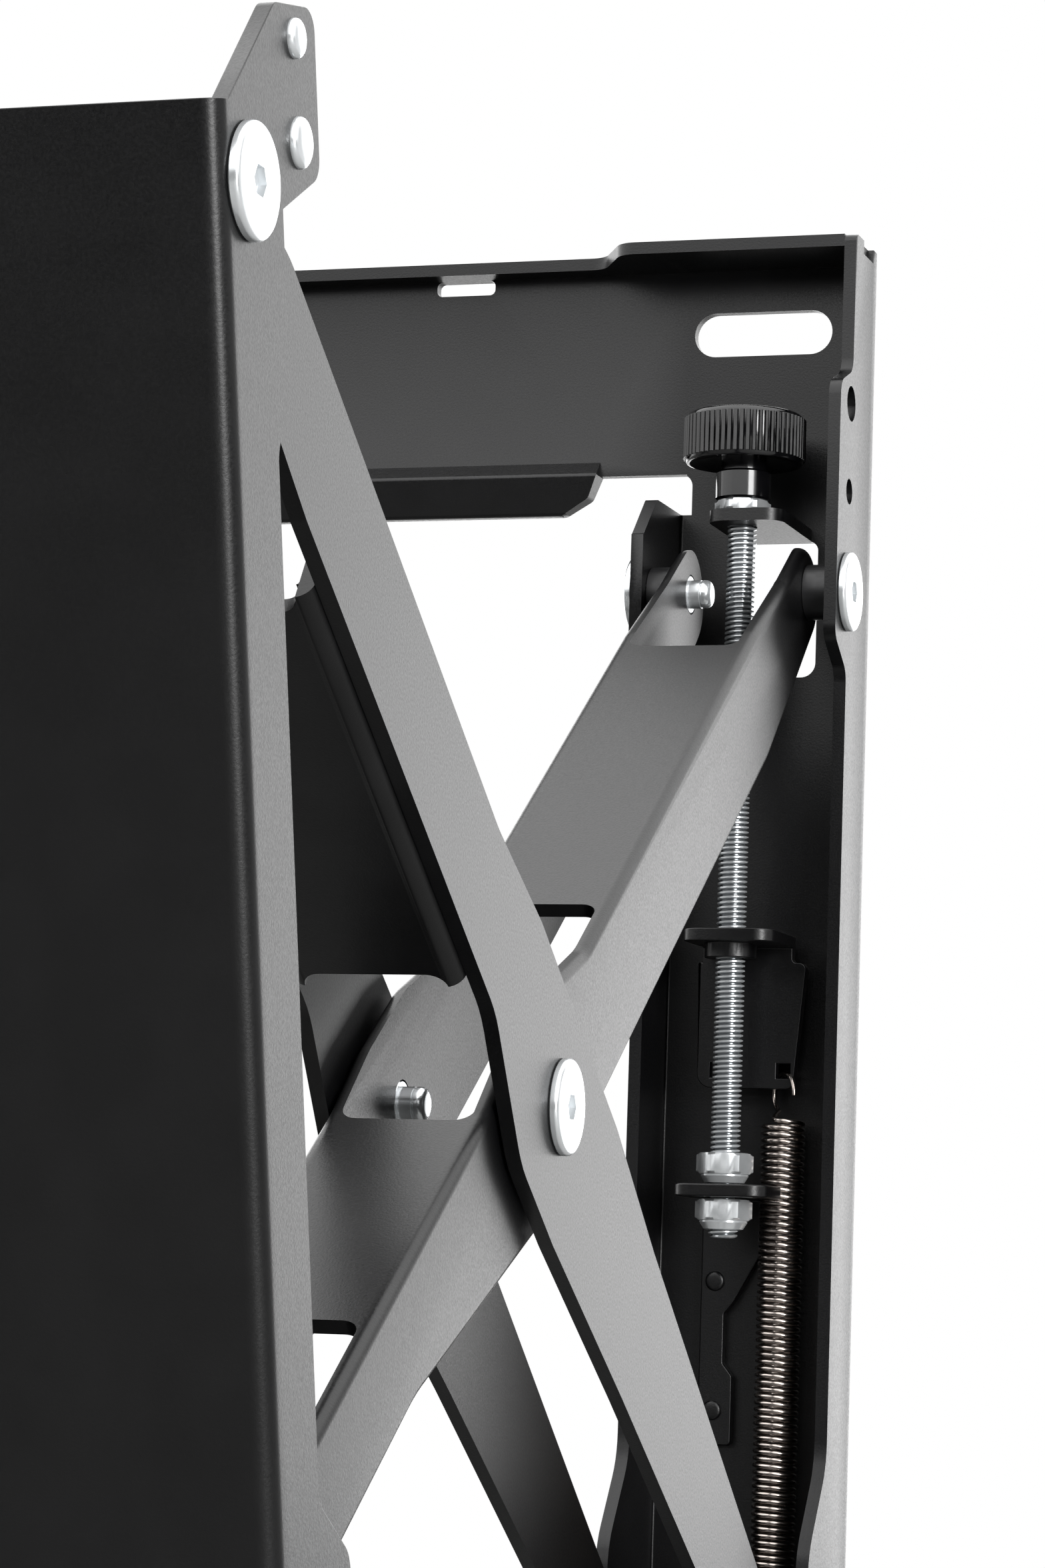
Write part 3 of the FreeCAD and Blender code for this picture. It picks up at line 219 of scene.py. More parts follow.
# Black plastics: glossy moulded nylon for the knobs, duller acetal for the bushes and blocks
plastics = {
    "mouldedNylon": {"dark": "#070708", "light": "#0e0e10", "roughLow": 0.1, "roughHigh": 0.18,
                     "patch": 2.5, "ior": 1.53, "waveHeight": 0.01},
    "blackAcetal": {"dark": "#101011", "light": "#18181a", "roughLow": 0.38, "roughHigh": 0.5,
                    "patch": 1.2, "ior": 1.48, "waveHeight": 0.008},
}
moulding = {"spread": (0.0, 1.0), "detail": 3.0, "strength": 0.4}


def makePlastic(name):
    look = {**moulding, **plastics[name]}
    material, tree, shader = newMaterial(name)
    shader.inputs["IOR"].default_value = look["ior"]
    tree.links.new(cloudSurface(tree, shader, look), shader.inputs["Base Color"])
    return material


# Oil-tempered spring wire: warm grey steel, clouded every 3 mm by a thin film of oil
wireLook = {"dark": "#958d88", "light": "#b5aca6", "spread": (0.3, 0.7), "patch": 3.0,
            "detail": 4.0, "roughLow": 0.18, "roughHigh": 0.28, "waveHeight": 0.002,
            "strength": 0.4}


def makeSpringWire():
    material, tree, shader = newMaterial("oilTemperedWire")
    shader.inputs["Metallic"].default_value = 1.0
    tree.links.new(cloudSurface(tree, shader, wireLook), shader.inputs["Base Color"])
    return material


powderCoat = makePowderCoat()
zincPlate = makeZinc("brightZincPlate")
# the threaded zinc carries painted shade in its thread's root
threadZinc = makeZinc("threadedZincPaintedRootShade", True)
nylon = makePlastic("mouldedNylon")
acetal = makePlastic("blackAcetal")
springWire = makeSpringWire()
print("materials made")


# Small helpers for meshes
def pieceFromMesh(name, mesh, material, smoothBelow=32):
    piece = bpy.data.objects.new(name, mesh)
    bpy.context.collection.objects.link(piece)
    mesh.materials.clear()
    mesh.materials.append(material)
    mesh.shade_smooth()
    mesh.set_sharp_from_angle(angle=math.radians(smoothBelow))
    return piece


def pieceFromBmesh(name, bm, material, smoothBelow=32):
    bmesh.ops.remove_doubles(bm, verts=bm.verts, dist=touching)
    bmesh.ops.recalc_face_normals(bm, faces=bm.faces)
    mesh = bpy.data.meshes.new(name)
    bm.to_mesh(mesh)
    bm.free()
    return pieceFromMesh(name, mesh, material, smoothBelow)


# Several pieces made one mesh, with their places kept
def joinPieces(name, parts, material, smoothBelow=36):
    bm = bmesh.new()
    for part in parts:
        bm.from_mesh(part.data)
        bpy.data.objects.remove(part)
    mesh = bpy.data.meshes.new(name)
    bm.to_mesh(mesh)
    bm.free()
    return pieceFromMesh(name, mesh, material, smoothBelow)


# A turned shape about +Z: profile is a list of (radius, height), closed from pole to pole or as a
# ring. A corner function gives hexagons their reach at each angle
def turned(bm, profile, around=48, corner=None):
    rings = []
    for radius, height in profile:
        if radius <= 0:
            rings.append([bm.verts.new((0, 0, height))])
            continue
        ring = []
        for i in range(around):
            angle = 2 * math.pi * i / around
            reach = corner(angle, radius, height) if corner else radius
            ring.append(bm.verts.new((reach * math.cos(angle), reach * math.sin(angle), height)))
        rings.append(ring)
    for low, high in zip(rings, rings[1:]):
        for i in range(around):
            j = (i + 1) % around
            if len(low) == 1:
                bm.faces.new((low[0], high[j], high[i]))
            elif len(high) == 1:
                bm.faces.new((low[i], low[j], high[0]))
            else:
                bm.faces.new((low[i], low[j], high[j], high[i]))


# Points along an arc, from one angle in degrees to another
def arcProfile(centre, radius, start, stop, steps):
    points = []
    for i in range(steps + 1):
        angle = math.radians(start + (stop - start) * i / steps)
        points.append((centre[0] + radius * math.cos(angle), centre[1] + radius * math.sin(angle)))
    return points


# Runs a node tree on an object, keeps the result as a plain mesh and drops the modifier
def bakeNodes(name, source, tree, settings, material, smoothBelow=32):
    modifier = source.modifiers.new(tree.name, "NODES")
    modifier.node_group = tree
    for item in tree.interface.items_tree:
        if item.item_type == "SOCKET" and item.in_out == "INPUT" and item.name in settings:
            modifier[item.identifier] = settings[item.name]
    source.update_tag()
    graph = bpy.context.evaluated_depsgraph_get()
    mesh = bpy.data.meshes.new_from_object(source.evaluated_get(graph))
    mesh.name = name
    source.modifiers.remove(modifier)
    bpy.data.objects.remove(source)
    return pieceFromMesh(name, mesh, material, smoothBelow)


def newTree(name, inputs):
    tree = bpy.data.node_groups.new(name, "GeometryNodeTree")
    tree.interface.new_socket("Geometry", in_out="INPUT", socket_type="NodeSocketGeometry")
    for label, kind, value in inputs:
        socket = tree.interface.new_socket(label, in_out="INPUT", socket_type=kind)
        if value is not None:
            socket.default_value = value  # object and material inputs have no default
    tree.interface.new_socket("Geometry", in_out="OUTPUT", socket_type="NodeSocketGeometry")
    entry = tree.nodes.new("NodeGroupInput")
    leave = tree.nodes.new("NodeGroupOutput")
    return tree, entry, leave


# Loose points, with edges or facing directions for a node tree to read
def pointObject(name, points, edges=(), facing=None):
    mesh = bpy.data.meshes.new(name)
    mesh.from_pydata([tuple(p) for p in points], list(edges), [])
    if facing:
        stored = mesh.attributes.new("facing", "FLOAT_VECTOR", "POINT")
        for i, direction in enumerate(facing):
            stored.data[i].vector = direction
    source = bpy.data.objects.new(name, mesh)
    bpy.context.collection.objects.link(source)
    return source


# Sheet parts: the CAD node's own shape with every sheared edge broken by a small radius
sheet = {"edgeRadius": 0.35 * mm, "steps": 2, "sharpAbove": 38}
cleaning = {"weld": 2e-6, "flatBelow": 0.4}  # metres and degrees
sheetNodes = {
    "wall_top_rail": "wall_frame", "wall_bottom_rail": "wall_frame",
    "front_top_rail": "front_frame", "front_bottom_rail": "front_frame",
}
for side in sides:
    sheetNodes["wall_rail_" + side] = "wall_frame"
    sheetNodes["rod_foot_" + side] = "wall_frame"
    sheetNodes["front_rail_" + side] = "front_frame"
    sheetNodes["inner_arm_" + side] = "inner_arm_body_" + side
    sheetNodes["outer_arm_" + side] = "outer_arm_body_" + side
    sheetNodes["spring_carriage_" + side] = "carriage_body_" + side


def softenedCopy(node, body, material, look):
    bm = bmesh.new()
    bm.from_mesh(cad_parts[node].data)
    bmesh.ops.remove_doubles(bm, verts=bm.verts, dist=cleaning["weld"])
    bmesh.ops.dissolve_limit(bm, angle_limit=math.radians(cleaning["flatBelow"]),
                             verts=bm.verts, edges=bm.edges)
    mesh = bpy.data.meshes.new(node + "_coated")
    bm.to_mesh(mesh)
    bm.free()
    piece = pieceFromMesh(node + "_coated", mesh, material, look["sharpAbove"])
    edge = piece.modifiers.new("brokenEdges", "BEVEL")
    edge.width = look["edgeRadius"]
    edge.segments = look["steps"]
    edge.limit_method = "ANGLE"
    edge.angle_limit = math.radians(look["sharpAbove"])
    edge.harden_normals = True
    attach(piece, body)
    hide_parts(node)


for node, body in sheetNodes.items():
    softenedCopy(node, body, powderCoat, sheet)
print("sheet parts softened:", len(sheetNodes))

block = {"edgeRadius": 0.6 * mm, "steps": 3, "sharpAbove": 38}
for side in sides:
    softenedCopy("slide_block_" + side, "slide_block_body_" + side, acetal, block)
    for node in ("wall_pivot_spacers_", "wall_slide_spacers_", "front_slide_spacers_",
                 "front_pivot_spacers_"):
        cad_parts[node + side].data.materials.clear()
        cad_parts[node + side].data.materials.append(acetal)
print("blocks and spacers finished")

# Pivot bolts: wide low heads with a hexagon socket, plain shanks and grooved, rounded spigots
bolt = {"headRadius": 8.0 * mm, "headHeight": 1.6 * mm, "edgeRound": 0.7 * mm,
        "socketFlats": 4.0 * mm, "socketDepth": 1.2 * mm, "shankRadius": 4.0 * mm,
        "spigotRadius": 2.9 * mm, "spigotLength": 4.5 * mm, "endRound": 1.2 * mm,
        "grooveDepth": 0.2 * mm, "socketCone": 0.4 * mm, "socketRim": 0.9 * mm,
        "underEdge": 0.25 * mm, "shoulder": 0.3 * mm, "grooveUp": 0.5 * mm, "around": 48}
grooveSteps = (0.2 * mm, 0.4 * mm, 0.5 * mm)  # floor's foot, floor's top and the groove's top


def boltMesh(name, length):
    socketReach = bolt["socketFlats"] / 2

    def reach(angle, radius, height):
        if abs(radius - socketReach) > near:
            return radius
        turn = (angle + math.pi / 6) % (math.pi / 3) - math.pi / 6
        return radius / math.cos(turn)

    top = bolt["headHeight"]
    floor = top - bolt["socketDepth"]
    r = bolt["headRadius"]
    rim = bolt["edgeRound"]
    under = bolt["underEdge"]
    shank = bolt["shankRadius"]
    shoulder = bolt["shoulder"]
    spigot = bolt["spigotRadius"]
    groove = spigot - bolt["grooveDepth"]
    profile = [(0, floor - bolt["socketCone"]), (socketReach, floor), (socketReach, top),
               (socketReach + bolt["socketRim"], top)]
    profile += arcProfile((r - rim, top - rim), rim, 90, 0, 5)
    profile += [(r, under), (r - under, 0), (shank, 0)]
    low = -length + bolt["spigotLength"]
    profile += [(shank, low + shoulder), (shank - shoulder, low), (spigot, low)]
    end = bolt["endRound"]
    ring = -length + end + bolt["grooveUp"]
    foot, floorTop, grooveTop = grooveSteps
    profile += [(spigot, ring + grooveTop), (groove, ring + floorTop), (groove, ring + foot),
                (spigot, ring)]
    profile += arcProfile((spigot - end, -length + end), end, 0, -90, 6)
    profile.append((0, -length))
    bm = bmesh.new()
    turned(bm, profile, bolt["around"], reach)
    return pieceFromBmesh(name, bm, zincPlate, 36)


def makeBoltTree():
    tree, entry, leave = newTree("boltsOnPoints", [
        ("Bolt", "NodeSocketObject", None), ("Finish", "NodeSocketMaterial", None)])
    facing = addNode(tree, "GeometryNodeInputNamedAttribute",
                     {"data_type": "FLOAT_VECTOR", "Name": "facing"})
    turn = addNode(tree, "FunctionNodeAlignRotationToVector", {"axis": "Z"},
                   {"Vector": facing.outputs["Attribute"]})
    shape = addNode(tree, "GeometryNodeObjectInfo", {}, {"Object": entry.outputs["Bolt"]})
    rows = addNode(tree, "GeometryNodeInstanceOnPoints", {},
                   {"Points": entry.outputs["Geometry"], "Instance": shape.outputs["Geometry"],
                    "Rotation": turn.outputs["Rotation"]})
    real = addNode(tree, "GeometryNodeRealizeInstances", {}, {"Geometry": rows.outputs["Instances"]})
    finish = addNode(tree, "GeometryNodeSetMaterial", {},
                     {"Geometry": real.outputs["Geometry"], "Material": entry.outputs["Finish"]})
    tree.links.new(finish.outputs["Geometry"], leave.inputs["Geometry"])
    return tree


boltTree = makeBoltTree()


# Places one bolt shape at each point, its head towards that point's facing direction
def placeBolts(name, shape, points, facing, material=zincPlate):
    source = pointObject(name + "_points", points, (), facing)
    return bakeNodes(name, source, boltTree, {"Bolt": shape, "Finish": material}, material, 36)


# Each pivot has two bolts, one from either side: where their heads seat and their ends stop, in
# mm out from the rail's middle
pivots = {
    "wall_pivot_bolts": {"at": wallPivot, "seats": (21.5, 21.5), "ends": (6.5, 6.5),
                         "body": "wall_frame"},
    "mid_pivot_bolts": {"at": midPivot, "seats": (16.75, 16.75), "ends": (6.5, 6.5),
                        "body": "outer_arm_body_"},
    "front_pivot_bolts": {"at": frontPivot, "seats": (21.5, 21.5), "ends": (9.75, 9.75),
                          "body": "front_frame"},
}


def makePivotBolts():
    for name, pivot in pivots.items():
        for side, sign in sides.items():
            parts = []
            for seat, end, out in zip(pivot["seats"], pivot["ends"], (1, -1)):
                shape = boltMesh("boltShape", (seat - end) * mm)
                x = sign * (railX + out * seat * mm)
                place = (x, pivot["at"].y, pivot["at"].z)
                parts.append(placeBolts("boltPart", shape, [place], [(sign * out, 0, 0)]))
                bpy.data.objects.remove(shape)
            joined = joinPieces(name + "_" + side + "_turned", parts, zincPlate)
            body = pivot["body"] + side if pivot["body"].endswith("_") else pivot["body"]
            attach(joined, body)
            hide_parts(name + "_" + side)


makePivotBolts()
print("pivot bolts placed")

# Slide axles: plain pins across a rail with a peened, rounded head at both ends
axle = {"radius": 4.0 * mm, "headRadius": 6.0 * mm, "headHeight": 2.0 * mm, "half": 21.8 * mm,
        "flatRadius": 1.2 * mm, "flatDrop": 0.05 * mm, "edge": 0.1 * mm,
        "domeAngles": (70, 55, 40, 25, 12), "around": 40}


def makeAxle(name, place, sign, body):
    half = axle["half"]
    r = axle["headRadius"]
    h = axle["headHeight"]
    edge = axle["edge"]
    ends = [(0, half + h), (axle["flatRadius"], half + h - axle["flatDrop"])]
    for angle in axle["domeAngles"]:
        turn = math.radians(angle)
        ends.append((r * math.cos(turn), half + (h - edge) * math.sin(turn)))
    ends += [(r, half + edge), (r - edge, half), (axle["radius"], half)]
    profile = ends + [(radius, -height) for radius, height in reversed(ends)]
    bm = bmesh.new()
    turned(bm, profile, axle["around"])
    bmesh.ops.transform(bm, matrix=Matrix.Rotation(math.radians(90), 4, "Y"), verts=bm.verts)
    bmesh.ops.translate(bm, vec=(sign * place.x, place.y, place.z), verts=bm.verts)
    piece = pieceFromBmesh(name + "_turned", bm, zincPlate, 30)
    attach(piece, body)
    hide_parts(name)


for side, sign in sides.items():
    makeAxle("wall_slide_axle_" + side, slideAxle, sign, "outer_arm_body_" + side)
    makeAxle("front_slide_axle_" + side, frontSlide, sign, "inner_arm_body_" + side)
print("slide axles turned")

# Adjusting rod: M6, a thread with 1 mm pitch from end to end. Its rows of points follow the
# screw line, so crest and root run clean round the rod. Each step of the thread's shape is a
# share of the pitch and a share of the thread's height
threadShape = ((0.0, 0.0), (0.1, 0.0), (0.24, 0.5), (0.38, 1.0), (0.62, 1.0), (0.76, 0.5),
               (0.9, 0.0))


def threadedMesh():
    bm = bmesh.new()
    pitch, around = rod["pitch"], rod["around"]
    turns = int((rod["top"] - rod["bottom"]) / pitch) + 2 * rod["spareTurns"]
    steps = len(threadShape)
    columns = []
    for a in range(around + 1):
        column = []
        for row in range(turns * steps):
            share, crest = threadShape[row % steps]
            z = rod["bottom"] + (row // steps - rod["spareTurns"] + share + a / around) * pitch
            fromEnd = max(0.0, min(z - rod["bottom"], rod["top"] - z))
            outside = min(rod["radius"], rod["radius"] - rod["chamfer"] + fromEnd)
            reach = min(outside, rod["root"] + (rod["radius"] - rod["root"]) * crest)
            angle = 2 * math.pi * a / around
            column.append(bm.verts.new((reach * math.cos(angle), reach * math.sin(angle), z)))
        columns.append(column)
    for one, two in zip(columns, columns[1:]):
        for low in range(len(one) - 1):
            bm.faces.new((one[low], two[low], two[low + 1], one[low + 1]))
    bmesh.ops.remove_doubles(bm, verts=bm.verts, dist=touching)
    # the spare turns are cut off flat and each end is closed
    for z, side in ((rod["bottom"], -1), (rod["top"], 1)):
        geometry = bm.verts[:] + bm.edges[:] + bm.faces[:]
        bmesh.ops.bisect_plane(bm, geom=geometry, dist=touching / 10, plane_co=(0, 0, z),
                               plane_no=(0, 0, side), clear_outer=True)
        rim = [edge for edge in bm.edges if edge.is_boundary
               and all(abs(v.co.z - z) < near for v in edge.verts)]
        bmesh.ops.edgeloop_fill(bm, edges=rim)
    return bm


def makeRods():
    for side, sign in sides.items():
        bm = threadedMesh()
        bmesh.ops.translate(bm, vec=(sign * rod["x"], rod["y"], 0), verts=bm.verts)
        piece = pieceFromBmesh("threaded_rod_" + side + "_cut", bm, threadZinc, 38)
        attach(piece, "rod_body_" + side)
        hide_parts("threaded_rod_" + side)


makeRods()
print("rods threaded")

# Knob: a flat wheel with 60 ribs, a dished top and underside, and a plain collar on a short
# neck. Steps in its outline are (out, up) in mm from the radius or height that each starts at
knob = {"radius": 12.0 * mm, "ribs": 60, "ribRadius": 0.5 * mm, "top": 213.1 * mm,
        "height": 10.3 * mm, "edge": 1.1 * mm, "collarRadius": 5.6 * mm, "collarHeight": 6.0 * mm,
        "neckRadius": 4.6 * mm, "gap": 1.5 * mm, "around": 120, "ribShort": 0.9 * mm,
        "ribDrop": 0.1 * mm, "dish": ((0, -1.2), (3.4, -1.0), (3.8, -0.1), (4.6, 0)),
        "lowEdge": ((0, 0.5), (-0.3, 0.1), (-1.1, 0), (-2.0, 0.5)),
        "hub": ((1.5, 1.4), (0, 1.5)), "collarTop": ((-0.5, 0), (0, -0.5)),
        "collarFoot": ((0, 0.4), (-0.4, 0))}


# Stands a thin rounded rib at each step round a circle
def makeRibTree():
    tree, entry, leave = newTree("ribsRoundWheel", [
        ("Ribs", "NodeSocketInt", 60), ("Wheel Radius", "NodeSocketFloat", 0.012),
        ("Rib Radius", "NodeSocketFloat", 0.0005), ("Rib Length", "NodeSocketFloat", 0.009),
        ("Finish", "NodeSocketMaterial", None)])
    ring = addNode(tree, "GeometryNodeMeshCircle", {},
                   {"Vertices": entry.outputs["Ribs"], "Radius": entry.outputs["Wheel Radius"]})
    rib = addNode(tree, "GeometryNodeMeshCylinder", {"Vertices": 8},
                  {"Radius": entry.outputs["Rib Radius"], "Depth": entry.outputs["Rib Length"]})
    rows = addNode(tree, "GeometryNodeInstanceOnPoints", {},
                   {"Points": ring.outputs["Mesh"], "Instance": rib.outputs["Mesh"]})
    real = addNode(tree, "GeometryNodeRealizeInstances", {}, {"Geometry": rows.outputs["Instances"]})
    finish = addNode(tree, "GeometryNodeSetMaterial", {},
                     {"Geometry": real.outputs["Geometry"], "Material": entry.outputs["Finish"]})
    tree.links.new(finish.outputs["Geometry"], leave.inputs["Geometry"])
    return tree


# Steps of an outline, given in mm from a radius and a height
def stepsFrom(radius, height, steps):
    return [(radius + out * mm, height + up * mm) for out, up in steps]


def knobProfile():
    r, edge, height = knob["radius"], knob["edge"], knob["height"]
    neck, collar = knob["neckRadius"], knob["collarRadius"]
    neckLow = -height - knob["gap"]
    collarLow = neckLow - knob["collarHeight"]
    profile = stepsFrom(0, 0, knob["dish"])
    profile += arcProfile((r - edge, -edge), edge, 90, 0, 6)
    profile += stepsFrom(r, -height, knob["lowEdge"])
    profile += stepsFrom(neck, -height, knob["hub"])
    profile.append((neck, neckLow))
    profile += stepsFrom(collar, neckLow, knob["collarTop"])
    profile += stepsFrom(collar, collarLow, knob["collarFoot"])
    profile.append((0, collarLow))
    return profile


def makeKnobs():
    tree = makeRibTree()
    profile = knobProfile()
    r, height = knob["radius"], knob["height"]
    ribLength = height - knob["edge"] - knob["ribShort"]
    for side, sign in sides.items():
        bm = bmesh.new()
        turned(bm, profile, knob["around"])
        wheel = pieceFromBmesh("wheel", bm, nylon, 36)
        source = pointObject("ribStock", [(0, 0, 0)])
        ribs = bakeNodes("ribs", source, tree,
                         {"Ribs": knob["ribs"], "Wheel Radius": r, "Rib Radius": knob["ribRadius"],
                          "Rib Length": ribLength, "Finish": nylon}, nylon, 60)
        ribs.data.transform(Matrix.Translation((0, 0, -height / 2 - knob["ribDrop"])))
        piece = joinPieces("adjusting_knob_" + side + "_moulded", [wheel, ribs], nylon, 40)
        piece.data.transform(Matrix.Translation((sign * rod["x"], rod["y"], knob["top"])))
        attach(piece, "rod_body_" + side)
        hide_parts("adjusting_knob_" + side)


makeKnobs()
print("knobs moulded")

# Nuts: cold-formed hexagons with chamfered corners; the lock nuts have a round collar below
nuts = {"flats": 10.0 * mm, "chamfer": 0.55 * mm, "bore": 2.9 * mm, "jamHeight": 2.5 * mm,
        "lockHeight": 4.3 * mm, "ringHeight": 1.8 * mm, "ringRadius": 4.8 * mm, "turn": 14,
        "around": 48, "faceEdge": 0.15 * mm, "faceOut": 0.1 * mm, "faceDrop": 0.12 * mm,
        "boreEdge": 0.3 * mm, "footTop": 56.6 * mm, "footSheet": 2.5 * mm, "gap": 0.3 * mm,
        "ringFoot": ((-1.3, 0), (-0.8, 0.15), (-0.6, 0.5)), "ringTop": ((0, -0.35), (0, -0.02))}


# A nut on the rod, low its underside, with a round collar below it where ring is set
def nutShape(bm, low, height, ring, sign):
    flat = nuts["flats"] / 2
    corner = nuts["flats"] / math.sqrt(3)

    def reach(angle, radius, z):
        if radius < flat + near:
            return radius
        turn = (angle - math.radians(nuts["turn"])) % (math.pi / 3) - math.pi / 6
        return min(radius, flat / math.cos(turn))

    c = nuts["chamfer"]
    face = flat - nuts["faceEdge"]
    out = flat + nuts["faceOut"]
    drop = nuts["faceDrop"]
    profile = [(face, 0), (out, drop), (corner, c), (corner, height - c), (out, height - drop),
               (face, height), (nuts["bore"], height)]
    if ring:
        r = nuts["ringRadius"]
        h = nuts["ringHeight"]
        start = [(nuts["bore"], -h + nuts["boreEdge"])]
        start += stepsFrom(r, -h, nuts["ringFoot"])
        start += stepsFrom(r, 0, nuts["ringTop"])
    else:
        start = [(nuts["bore"], 0)]
    shape = bmesh.new()
    turned(shape, start + profile + [start[0]], nuts["around"], reach)
    bmesh.ops.remove_doubles(shape, verts=shape.verts, dist=touching)
    bmesh.ops.translate(shape, vec=(sign * rod["x"], rod["y"], low), verts=shape.verts)
    mesh = bpy.data.meshes.new("nutShape")
    shape.to_mesh(mesh)
    shape.free()
    bm.from_mesh(mesh)
    bpy.data.meshes.remove(mesh)


def makeNuts():
    lock = nuts["lockHeight"]
    above = nuts["footTop"] + nuts["gap"] + nuts["ringHeight"]
    below = nuts["footTop"] - nuts["footSheet"] - nuts["gap"] - lock
    collarLow = knob["top"] - knob["height"] - knob["gap"] - knob["collarHeight"]
    for side, sign in sides.items():
        bm = bmesh.new()
        nutShape(bm, collarLow - nuts["jamHeight"], nuts["jamHeight"], False, sign)
        piece = pieceFromBmesh("jam_nut_" + side + "_formed", bm, zincPlate, 24)
        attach(piece, "rod_body_" + side)
        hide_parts("jam_nut_" + side)
        bm = bmesh.new()
        nutShape(bm, above, lock, True, sign)
        nutShape(bm, below, lock, True, sign)
        piece = pieceFromBmesh("lock_nuts_" + side + "_formed", bm, zincPlate, 24)
        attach(piece, "rod_body_" + side)
        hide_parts("lock_nuts_" + side)


makeNuts()
print("nuts formed")

# Low domed heads: coated rivets on the rod's lower bracket and bright hook pins in the ears. A
# head is its radius, height and spot in mm: across and up from the rail's middle on the bracket,
# behind and above the front pivot on the ear
lowHeads = {
    "foot_rivets": {"body": "wall_frame", "material": powderCoat, "slot": "powder_coat",
                    "facing": (0, -1, 0),
                    "heads": ((2.0, 0.8, (-6.5, 37.6)), (2.0, 0.8, (-6.5, 11.6)))},
    "ear_pins": {"body": "front_frame", "material": zincPlate, "slot": "zinc",
                 "facing": (1, 0, 0),
                 "heads": ((2.8, 1.2, (19.0, 19.5)), (3.6, 1.2, (19.4, 5.6)))},
}
dome = {"wall": 0.3, "angles": (30, 50, 65, 78), "around": 36, "earFace": 300 * mm,
        "bracketFace": -5 * mm}


def headMesh(radius, height, material):
    wall = dome["wall"] * height
    profile = [(0, 0), (radius, 0), (radius, wall)]
    for angle in dome["angles"]:
        turn = math.radians(angle)
        profile.append((radius * math.cos(turn) ** 0.5, wall + (height - wall) * math.sin(turn)))
    profile.append((0, height))
    bm = bmesh.new()
    turned(bm, profile, dome["around"])
    return pieceFromBmesh("headShape", bm, material, 40)


# Points on the ear are given behind and above the front pivot, along the leaning frame
def onEar(behind, above):
    y = frontPivot.y + (behind * math.cos(frontLean) - above * math.sin(frontLean)) * mm
    z = frontPivot.z + (behind * math.sin(frontLean) + above * math.cos(frontLean)) * mm
    return y, z


def makeLowHeads():
    for name, look in lowHeads.items():
        for side, sign in sides.items():
            parts = []
            for radius, height, spot in look["heads"]:
                if name == "ear_pins":
                    place = (sign * dome["earFace"], *onEar(*spot))
                else:
                    place = (sign * (railX + spot[0] * mm), dome["bracketFace"], spot[1] * mm)
                facing = (sign * look["facing"][0], look["facing"][1], 0)
                shape = headMesh(radius * mm, height * mm, look["material"])
                parts.append(placeBolts("headPart", shape, [place], [facing], look["material"]))
                bpy.data.objects.remove(shape)
            piece = joinPieces(name + "_" + side + "_domed", parts, look["material"], 40)
            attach(piece, look["body"])
            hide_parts(name + "_" + side)


makeLowHeads()
print("rivets and ear pins set")

# Extension spring: close coils of 1 mm wire with an open hook at each end
spring = {"x": 8.1 * mm, "y": -9.75 * mm, "outside": 9.0 * mm, "wire": 1.02 * mm, "turns": 74,
          "top": 70 * mm, "bottom": -32 * mm, "hookRadius": 4.0 * mm, "hookTurn": 44,
          "topHook": 75.62 * mm, "bottomHook": -37.6 * mm, "perTurn": 22, "sides": 10,
          "hookFrom": -62, "hookSweep": 248, "hookSteps": 24, "leadSteps": 8, "leadBow": 1.44}


# Sweeps a round wire along a line of points
def makeWireTree():
    tree, entry, leave = newTree("wireOnPath", [
        ("Wire Radius", "NodeSocketFloat", 0.0005), ("Sides", "NodeSocketInt", 10),
        ("Finish", "NodeSocketMaterial", None)])
    path = addNode(tree, "GeometryNodeMeshToCurve", {}, {"Mesh": entry.outputs["Geometry"]})
    section = addNode(tree, "GeometryNodeCurvePrimitiveCircle", {},
                      {"Resolution": entry.outputs["Sides"], "Radius": entry.outputs["Wire Radius"]})
    wire = addNode(tree, "GeometryNodeCurveToMesh", {"Fill Caps": True},
                   {"Curve": path.outputs["Curve"], "Profile Curve": section.outputs["Curve"]})
    finish = addNode(tree, "GeometryNodeSetMaterial", {},
                     {"Geometry": wire.outputs["Mesh"], "Material": entry.outputs["Finish"]})
    tree.links.new(finish.outputs["Geometry"], leave.inputs["Geometry"])
    return tree


# The hook's points: it rises behind the plate, passes through the hole and comes down in front.
# A short lead eases from the last coil into it
def hookPoints(centre, coilPoint, up):
    turn = math.radians(spring["hookTurn"])
    across = Vector((math.sin(turn), -math.cos(turn), 0))
    r = spring["hookRadius"]
    loop = []
    for step in range(spring["hookSteps"] + 1):
        angle = math.radians(spring["hookFrom"] + spring["hookSweep"] * step / spring["hookSteps"])
        rise = Vector((0, 0, up * r * math.sin(angle)))
        loop.append(centre - across * (r * math.cos(angle)) + rise)
    start = Vector(coilPoint)
    lead = []
    for step in range(1, spring["leadSteps"]):
        t = step / spring["leadSteps"]
        bowed = start - Vector((spring["leadBow"] * r * t * (1 - t), 0, 0))
        lead.append(bowed.lerp(loop[0], t * t * (3 - 2 * t)))
    return lead + loop


